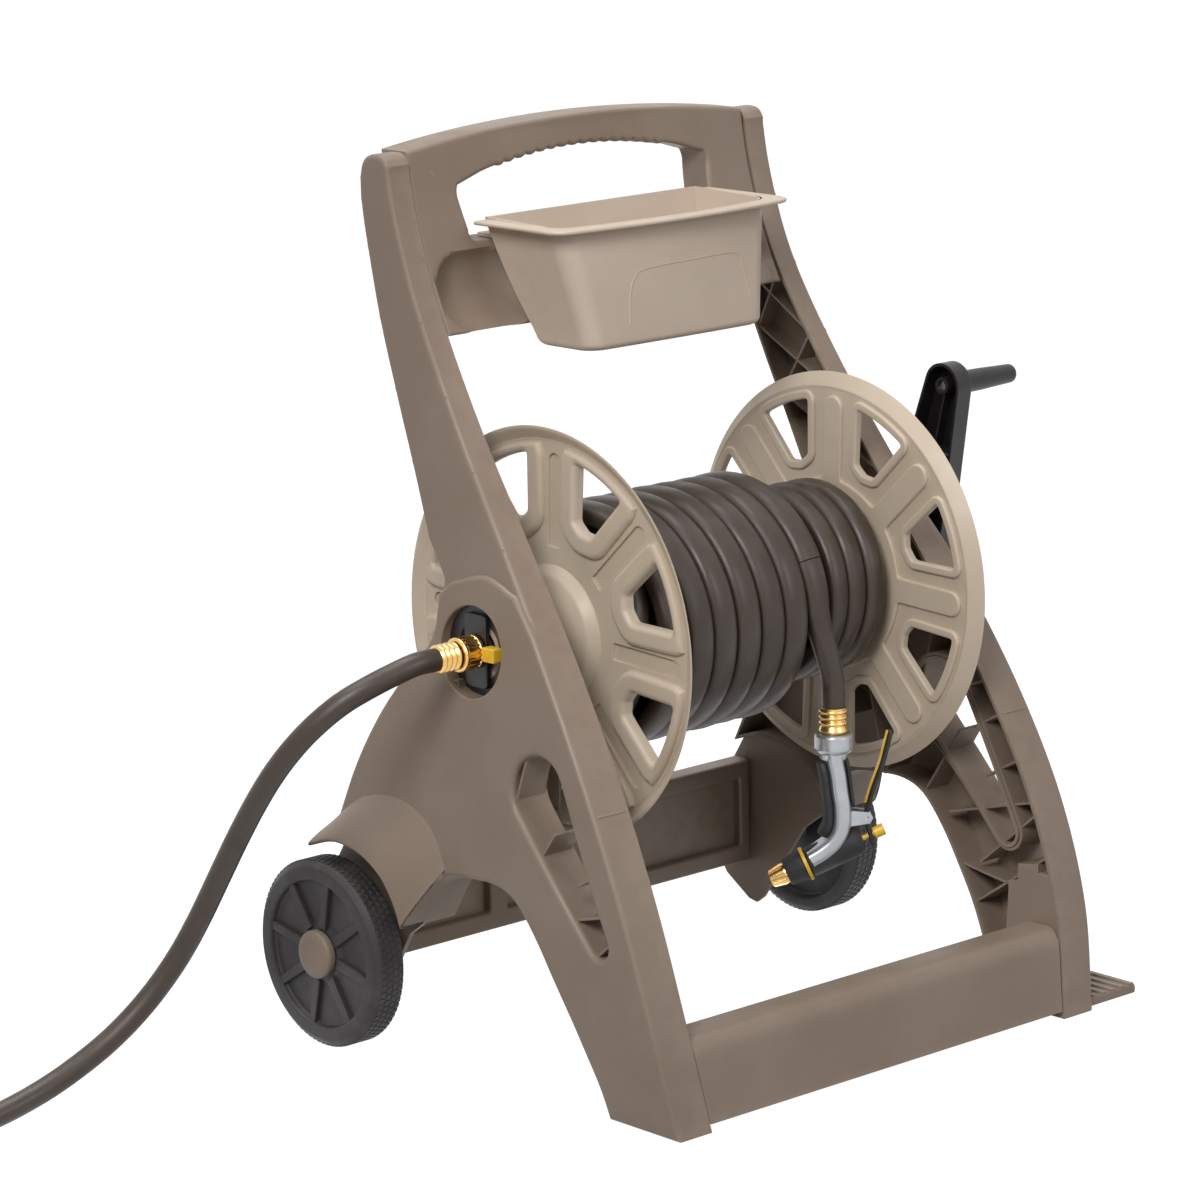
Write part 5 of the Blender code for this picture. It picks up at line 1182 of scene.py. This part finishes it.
def flange(name, node, look):
    plan = flangePlan
    low, high = look["plate"]
    out, turn, count = look["outward"], plan["turn"], plan["windows"]
    inner, outer = (high, low) if out < 0 else (low, high)
    lip = outer + out * plan["lip"]

    def towardsHose(co):  # flat depth counts from the disc's hose side
        return Vector((inner - out * co.z, co.x, co.y))

    def roundWindows(outside, high, soft, edgeSteps, rule):
        band = plate(outside, -0.0008, high, soft, [windowLoop()], edgeSteps, 0.0002)
        return copiesRound(mapped(band, rule), count, "reelTan", math.pi / 8 + turn)

    openings = [turnedLoop(windowLoop(), (k + 0.5) * math.pi / 4 + turn) for k in range(count)]
    openings.append(circle((0, 0), 0.06, 48))
    bands = [roundWindows(windowLoop(plan["ringWide"]), plan["ringHigh"], 0.0024, 5, towardsHose)]
    if out < 0:  # tongues cut through the disc, closed behind by the star: they show as grooves from outside
        tongue = roundCorners(tongueLoop(plan["tongueStart"], plan["grooveHalf"]), 0.002, 3)
        openings += [turnedLoop(tongue, k * math.pi / 4 + turn) for k in range(count)]
        wide = [p * min(1.0, plan["rollReach"] / p.length) for p in windowLoop(plan["rollWide"])]
        bands.append(roundWindows(wide, plan["rollHigh"], plan["rollSoft"], 6,
                                  lambda co: Vector((outer - co.z, co.x, co.y))))
    disc = plate(circle((0, 0), plan["plate"] + 0.001, 128), low, high, 0.0006, openings)
    star = plate(turnedLoop(starLoop(), turn), -0.0003, plan["starHigh"], 0.0022,
                 [circle((0, 0), plan["bore"], 48)],
                 4, 0.0002)
    start = plan["rimStart"]
    rim = lathe([(inner, start), (inner, start + 0.003), (lip, plan["radius"]),
                 (lip, plan["radius"] - 0.0035),
                 (outer, start + 0.003), (outer, start)], 128, 0.0016, 4)
    hub = lathe(look["hub"], 64, 0.0022)
    shapes = [mapped(disc, alongX), mapped(star, towardsHose), *bands, rim, hub]
    if out > 0:
        half, near, far = plan["square"]
        drive = plate(roundCorners(box(-half, half, -half, half), 0.0012, 3), near, far, 0.0006)
        shapes.append(mapped(drive, alongX))
    return finishPiece(name, atAxis(joined(*shapes)), "reelTan", "reel", node)


flange("leftFlange", "left_flange", flangePlan["left"])
flange("rightFlange", "right_flange", flangePlan["right"])

wheelPlan = {"inner": 0.2835, "outer": 0.32, "tread": 0.09, "lugHigh": 0.0006, "lugs": 84, "rows": 4,
             "spokes": 8,
             "rightOut": 0.024, "hubRadius": 0.016, "bore": 0.0069}


def lugRows(inside, outside):  # rows of lugs round the tread, each row half a lug ahead of the last
    tread, lugs, count, high = (wheelPlan[key] for key in ("tread", "lugs", "rows", "lugHigh"))
    wide = (outside - inside - 0.01) / count
    half = math.pi * tread / lugs * 0.7
    rows = []
    for row in range(count):
        x = inside + 0.005 + row * wide
        lug = plate(box(x + high, x + wide - high, -half, half), tread - high, tread + high, high / 2,
                    edgeSteps=1)
        rows.append(copiesRound(mapped(lug, alongY), lugs, "wheelBlack", (row % 2) * math.pi / lugs))
    return rows


def wheel(word, side):
    plan = wheelPlan
    setOut = plan["rightOut"] if side > 0 else 0.0
    i, o = plan["inner"] + setOut, plan["outer"] + setOut
    hubFrom, bore, hubRadius = plan["inner"] + 0.0005, plan["bore"], plan["hubRadius"]

    def onAxle(co):
        return Vector((side * co.x, co.y + axleSpot[0], co.z + axleSpot[1]))

    hub = [(hubFrom, bore), (hubFrom, hubRadius)] + ([(i + 0.0005, hubRadius)] if setOut else [])
    tyre = lathe([(i, 0.077), (i, 0.0835), (i + 0.0055, plan["tread"]), (o - 0.0055, plan["tread"]),
                  (o, 0.0835),
                  (o, 0.0715), (o - 0.0065, 0.07), (o - 0.0065, 0.03), (o - 0.004, 0.024), (o - 0.004, bore)]
                 + hub + [(i + 0.012, 0.074)], 96, 0.0022)
    spoke = plate(roundCorners([(0.0255, -0.0048), (0.072, -0.004), (0.072, 0.004), (0.0255, 0.0048)], 0.001,
                               2),
                  o - 0.008, o - 0.0016, 0.0012)
    spokes = copiesRound(mapped(spoke, alongX), plan["spokes"], "wheelBlack", 0.2)
    shape = mapped(joined(tyre, spokes, *lugRows(i, o)), onAxle)
    finishPiece(word + "Wheel", shape, "wheelBlack", word + "_wheel", word + "_wheel")
    cap = lathe([(o - 0.0036, 0.011), (o - 0.0036, 0.0236), (o + 0.002, 0.0236), (o + 0.005, 0.0222),
                 (o + 0.0064, 0.017), (o + 0.0065, 0.0), (o + 0.0035, 0.0), (o + 0.0035, 0.011)], 64, 0.0012)
    finishPiece(word + "HubCap", mapped(cap, onAxle), "frameBrown", word + "_wheel", word + "_hub_cap")


for word, side in (("left", -1), ("right", 1)):
    wheel(word, side)

crankPlan = {"tip": Vector((-0.047, 0.174)), "low": 0.296, "high": 0.316, "hub": 0.04, "end": 0.0225,
             "rib": 0.0022, "spokeFrom": 0.0208, "spokeTo": 0.0382}


def crankArm():
    plan = crankPlan
    tip, low, high, rib = plan["tip"], plan["low"], plan["high"], plan["rib"]
    way = tip.normalized()
    side = Vector((way.y, -way.x))
    hang = way * 0.15 + Vector((0.0045, 0))
    slot = roundCorners([hang + Vector(p) for p in box(-0.003, 0.003, -0.0035, 0.0035)], 0.001, 2)
    shell = moulding(taperLoop((0, 0), plan["hub"], tip, plan["end"], 20), high, low, 0.003, 0.0022,
                     [(circle(tip, 0.0047, 24), high - 0.006, 0.0004), (slot, high - 0.0045, 0.0004)])
    ribs = [wallBetween(way * reach - side * half, way * reach + side * half, rib, low + 0.003, high - 0.002)
            for reach, half in ((0.07, 0.031), (0.115, 0.026))]
    ribs.append(wallBetween(way * 0.021, tip - way * 0.0085, rib, low + 0.006, high - 0.002))
    for degrees in (60, 120, 180, 240, 300):
        arm = turnedLoop([way], math.radians(degrees))[0]
        ribs.append(wallBetween(arm * plan["spokeFrom"], arm * plan["spokeTo"], rib, low + 0.004,
                                high - 0.002))
    flat = mapped(joined(shell, *ribs), alongX)
    hub = lathe([(0.274, 0.016), (0.274, 0.0215), (high - 0.002, 0.0215), (high - 0.002, 0.0026),
                 (0.3, 0.0026), (0.3, 0.016)], 48, 0.0012)
    boss = lathe([(low, 0.0047), (low, 0.0085), (high - 0.002, 0.0085), (high - 0.002, 0.0047)], 32, 0.0008,
                 2)
    whole = joined(flat, hub, moved(boss, (0, tip.x, tip.y)))
    return finishPiece("crankArm", atAxis(whole), "charcoal", "reel", "crank_arm")


def crankGrip():
    tip = crankPlan["tip"]
    shape = lathe([(0.3166, 0.0047), (0.3166, 0.0104), (0.3182, 0.0112), (0.35, 0.0108), (0.37, 0.01),
                   (0.385, 0.0095), (0.3915, 0.0092), (0.3935, 0.008), (0.3935, 0.0072), (0.3836, 0.0072),
                   (0.3836, 0.0047)], 48, 0.0012)
    grip = moved(shape, (0, tip.x, tip.y + axisZ))
    return finishPiece("crankGrip", grip, "charcoal", "crank_grip", "crank_grip")


crankArm()
crankGrip()
print("reel, wheels and crank made")


# Water inlet, leader fittings and the far end's tap fittings

def knurled(x0, x1, bore, radius, count):  # a nut with fine ridges round it
    waist = radius - 0.0012
    ends = ((0.0, bore), (0.0, radius - 0.0016), (0.0016, radius), (0.0042, radius), (0.0052, waist))
    core = lathe([(x0 + d, r) for d, r in ends] + [(x1 - d, r) for d, r in ends[::-1]], 72, 0.0006, 2)
    half = math.pi * radius / count * 0.55
    flat = box(x0 + 0.0046, x1 - 0.0046, -half, half)
    ridge = mapped(plate(flat, radius - 0.0022, radius - 0.0002, 0.0005, edgeSteps=2), alongY)
    return joined(core, copiesRound(ridge, count, "brass"))


crimpBore = 0.006


def crimped(x0, x1, core, crest, count):  # a ferrule pressed onto the hose in rounded rings
    profile = [(x0, crimpBore), (x0, core)]
    for k, x in enumerate(steps(x0 + 0.0004, x1 - 0.0004, count * 8)):
        profile.append((x, core + (crest - core) * (0.5 - 0.5 * math.cos(2 * math.pi * k / 8)) ** 0.7))
    return lathe(profile + [(x1, core), (x1, crimpBore)], 64)


def waterInlet():
    body = lathe([(-0.286, 0.007), (-0.286, 0.0118), (-0.264, 0.0118), (-0.264, 0.015), (-0.26, 0.0165),
                  (-0.2565, 0.0165), (-0.2565, 0.0125), (-0.247, 0.0125), (-0.247, 0.0096), (-0.205, 0.0096),
                  (-0.205, 0.007)], 56, 0.0006, 2)
    ears = plate(roundCorners(box(-0.015, 0.015, -0.0345, 0.0345), 0.006, 5), -0.265, -0.2604, 0.001,
                 [circle((0, 0), 0.014, 32)])
    finishPiece("waterInlet", atAxis(joined(body, mapped(ears, alongX))), "charcoal", "frame", "inlet_body")
    clip = plate(roundCorners(box(-0.033, -0.0168, -0.006, 0.0075), 0.002, 4), -0.272, -0.2604, 0.0012)
    finishPiece("inletClip", atAxis(mapped(clip, alongX)), "signalYellow", "frame", "inlet_clip")


def leaderFittings():
    nut = atAxis(knurled(-0.289, -0.2656, 0.0124, 0.0162, 20))
    finishPiece("leaderCoupling", nut, "brass", "frame", "leader_coupling")
    ferrule = atAxis(crimped(-0.313, -0.2893, 0.0112, 0.0135, 4))
    finishPiece("leaderFerrule", ferrule, "brass", "frame", "leader_ferrule")
    lay = (Matrix.Translation(tapSpot + tapWay * 0.0003)
           @ Vector((-1, 0, 0)).rotation_difference(tapWay).to_matrix().to_4x4())
    farFerrule = crimped(-0.024, 0.0, 0.0112, 0.0135, 4)
    farNut = knurled(-0.05, -0.0243, 0.0124, 0.0162, 20)
    return [finishPiece("tapFerrule", farFerrule, "brass", "frame", "tap_ferrule", lay=lay),
            finishPiece("tapCoupling", farNut, "brass", "tap_nut", "tap_coupling", lay=lay)]


waterInlet()
tapFittings = leaderFittings()
print("inlet and fittings made")


# Spray nozzle that hangs from the free end, drawn in its own plane: x forward to the lever, y across, z up

nozzleLay = Matrix.Translation((*hosePlan["tail"], 0)) @ Matrix.Rotation(math.radians(-38), 4, "Z")
leverPivot = Vector((0.03, 0, 0.198))
across = Vector((0, 1, 0))
barrelTail, barrelWay = Vector((0.03, 0, 0.1778)), Vector((-0.9215, 0, -0.3884)).normalized()
handleLine = [Vector((h, 0, z)) for h, z in ((0, 0.262), (0, 0.256), (0.0025, 0.242), (0.0045, 0.225),
                                             (0.0065, 0.2085), (0.0055, 0.19), (-0.001, 0.176),
                                             (-0.0115, 0.1665),
                                             (-0.024, 0.159))]
leverLine = [Vector((h, 0, z)) for h, z in ((0.0365, 0.17), (0.034, 0.1795), (0.031, 0.189), (0.03, 0.198),
                                            (0.0325, 0.211), (0.0375, 0.227), (0.046, 0.25), (0.05, 0.265),
                                            (0.054, 0.28))]


def nozzlePiece(name, shape, paint, body, node):
    return finishPiece(name, shape, paint, body, node, lay=nozzleLay)


def upright(profile, soft, count=2):
    return mapped(lathe(profile, 48, soft, count), alongZ)


def alongBarrel(shape):
    turn = Vector((1, 0, 0)).rotation_difference(barrelWay).to_matrix()
    return mapped(shape, lambda co: barrelTail + turn @ co)


def roundedBox(low, high, half, power=3.2, count=28):
    # section across from low to high, half thick along the normal
    middle = (low + high) / 2
    return [(middle + s, n) for s, n in oval((high - low) / 2, half, count, power)]


def nozzleBody():
    grip = sweep(curved(handleLine, 6), roundedBox(-0.009, 0.009, 0.0156), across)
    head = lathe([(0.0042, 0.0105), (0.01, 0.0142), (0.057, 0.0148), (0.0608, 0.014), (0.0608, 0.007),
                  (0.0042, 0.007)], 48, 0.002, 4)
    neck = upright([(0.256, 0.007), (0.256, 0.014), (0.2618, 0.0152), (0.2624, 0.0152), (0.2624, 0.007)],
                   0.0008)
    ear = ((0.012, 0.19), (0.033, 0.1925), (0.036, 0.198), (0.033, 0.2035), (0.012, 0.206))
    ears = mapped(joined(*(plate(ear, n, n + 0.0028, 0.0007) for n in (0.006, -0.0088))), alongY)
    nozzlePiece("nozzleBody", joined(grip, neck, ears), "castSilver", "frame", "nozzle_body")
    nozzlePiece("nozzleHead", alongBarrel(head), "gripBlack", "frame", "nozzle_body")


def gripPad(line, low, high, half):  # a pad along the handle, narrower at its ends
    return sweep(line, lambda t: roundedBox(low, high, half * min(1.0, 0.72 + 3 * min(t, 1 - t)), 2.6),
                 across)


def gripPads():
    front = curved(handleLine[1:7], 8)
    ridges = []
    for spot, ahead in zip(front[6:-6:4], front[7:-5:4]):
        way = (ahead - spot).normalized()
        out = way.cross(across)
        start = spot - out * 0.0172
        line = [start + across * n + out * (0.0035 * (n / 0.0125) ** 2) for n in steps(-0.0125, 0.0125, 8)]
        ridges.append(sweep(line, oval(0.0009, 0.0009, 8), way))
    pad = joined(gripPad(front, -0.0175, -0.008, 0.014), *ridges)
    nozzlePiece("frontGripPad", pad, "gripBlack", "frame", "nozzle_front_pad")
    rear = gripPad(curved(handleLine[1:5], 8), 0.0082, 0.013, 0.013)
    nozzlePiece("rearGripPad", rear, "gripBlack", "frame", "nozzle_rear_pad")


def tailFittings():
    ferrule = mapped(crimped(0.2885, 0.306, 0.0118, 0.0138, 3), alongZ)
    foot = upright([(0.2812, 0.006), (0.2812, 0.0128), (0.284, 0.0142), (0.2886, 0.0122), (0.2886, 0.006)],
                   0.0006)
    collar = upright([(0.2625, 0.007), (0.2625, 0.016), (0.266, 0.0185), (0.279, 0.0185), (0.2809, 0.0165),
                      (0.2809, 0.007)], 0.001, 3)
    return [nozzlePiece("tailFerrule", joined(ferrule, foot), "brass", "frame", "tail_ferrule"),
            nozzlePiece("nozzleCollar", collar, "castSilver", "frame", "nozzle_collar")]


def barrelRow(start, end, halves, low, high, edge, taper, count, paint):
    # ribs round the barrel, sinking as it narrows; halves are a rib's half widths at its two ends
    near, far = halves
    rib = plate([(start, -near), (end, -far), (end, far), (start, near)], low, high, edge, edgeSteps=1)
    rib = mapped(rib, lambda co: Vector((co.x, co.z - (co.x - start) * taper, co.y)))
    return copiesRound(rib, count, paint)


def sprayHead():
    ring = lathe([(0.0611, 0.006), (0.0611, 0.0168), (0.0645, 0.0168), (0.0645, 0.006)], 56, 0.0006, 2)
    nozzlePiece("sprayRing", alongBarrel(ring), "signalYellow", "frame", "spray_ring")
    bezel = lathe([(0.0648, 0.0105), (0.0648, 0.015), (0.067, 0.0154), (0.082, 0.013), (0.0835, 0.0122),
                   (0.0835, 0.0105)], 56, 0.0006, 2)
    notches = barrelRow(0.0668, 0.0822, (0.0011, 0.0011), 0.012, 0.0158, 0.0004, 0.15, 12, "gripBlack")
    nozzlePiece("sprayBezel", alongBarrel(joined(bezel, notches)), "gripBlack", "spray_head", "spray_bezel")
    tip = lathe([(0.0655, 0.0), (0.0655, 0.0101), (0.085, 0.0101), (0.099, 0.0078), (0.1, 0.0068),
                 (0.097, 0.005), (0.095, 0.0)], 48, 0.0004, 2)
    teeth = barrelRow(0.086, 0.0985, (0.001, 0.0008), 0.0085, 0.0108, 0.0003, 0.17, 9, "brass")
    nozzlePiece("sprayTip", alongBarrel(joined(tip, teeth)), "brass", "spray_head", "spray_tip")


def trigger():
    stem = lathe([(-0.0185, 0.0), (-0.0185, 0.0058), (-0.0078, 0.0058), (-0.0078, 0.0026), (0.04, 0.0026),
                  (0.04, 0.0)], 32, 0.0008, 2)
    nozzlePiece("valveStem", alongBarrel(stem), "signalYellow", "valve", "valve_stem")

    def leverSection(t):  # wider above the pivot
        half = 0.0054 if t < 0.45 else 0.0054 + 0.0026 * min(1.0, (t - 0.45) / 0.15)
        return roundedBox(-0.0022, 0.0022, half, 3.0, 20)

    bar = sweep(curved(leverLine, 6), leverSection, across)
    knuckle = lathe([(-0.0056, 0.0019), (-0.0056, 0.0042), (0.0056, 0.0042), (0.0056, 0.0019)], 32, 0.0006, 2)
    knuckle = mapped(knuckle, lambda co: leverPivot + Vector((co.y, co.x, co.z)))
    nozzlePiece("nozzleLever", joined(bar, knuckle), "gripBlack", "lever", "nozzle_lever")
    strip = sweep(curved(leverLine[4:], 6), roundedBox(0.0023, 0.0042, 0.004, 2.6, 16), across)
    nozzlePiece("leverTrim", strip, "signalYellow", "lever", "lever_trim")


nozzleBody()
gripPads()
tailPieces = tailFittings()
sprayHead()
trigger()
print("nozzle made")

# The CAD pieces that stay keep their shape and take a finish
carried = {"frame": "frameBrown", "tan": "reelTan", "black": "charcoal", "tyre": "wheelBlack",
           "hose": "hoseBrown",
           "brass": "brass", "steel": "zinc", "silver": "castSilver", "yellow": "signalYellow",
           "rubber": "gripBlack"}
slots = {part["node"]: part.get("material_slot") for part in frame["record"].get("subparts", [])}
for node, obj in frame["nodes"].items():
    for spot in obj.material_slots:
        spot.material = paints[carried.get(slots.get(node), "charcoal")]
print("carried over:", sum(1 for o in frame["nodes"].values() if not o.hide_render))
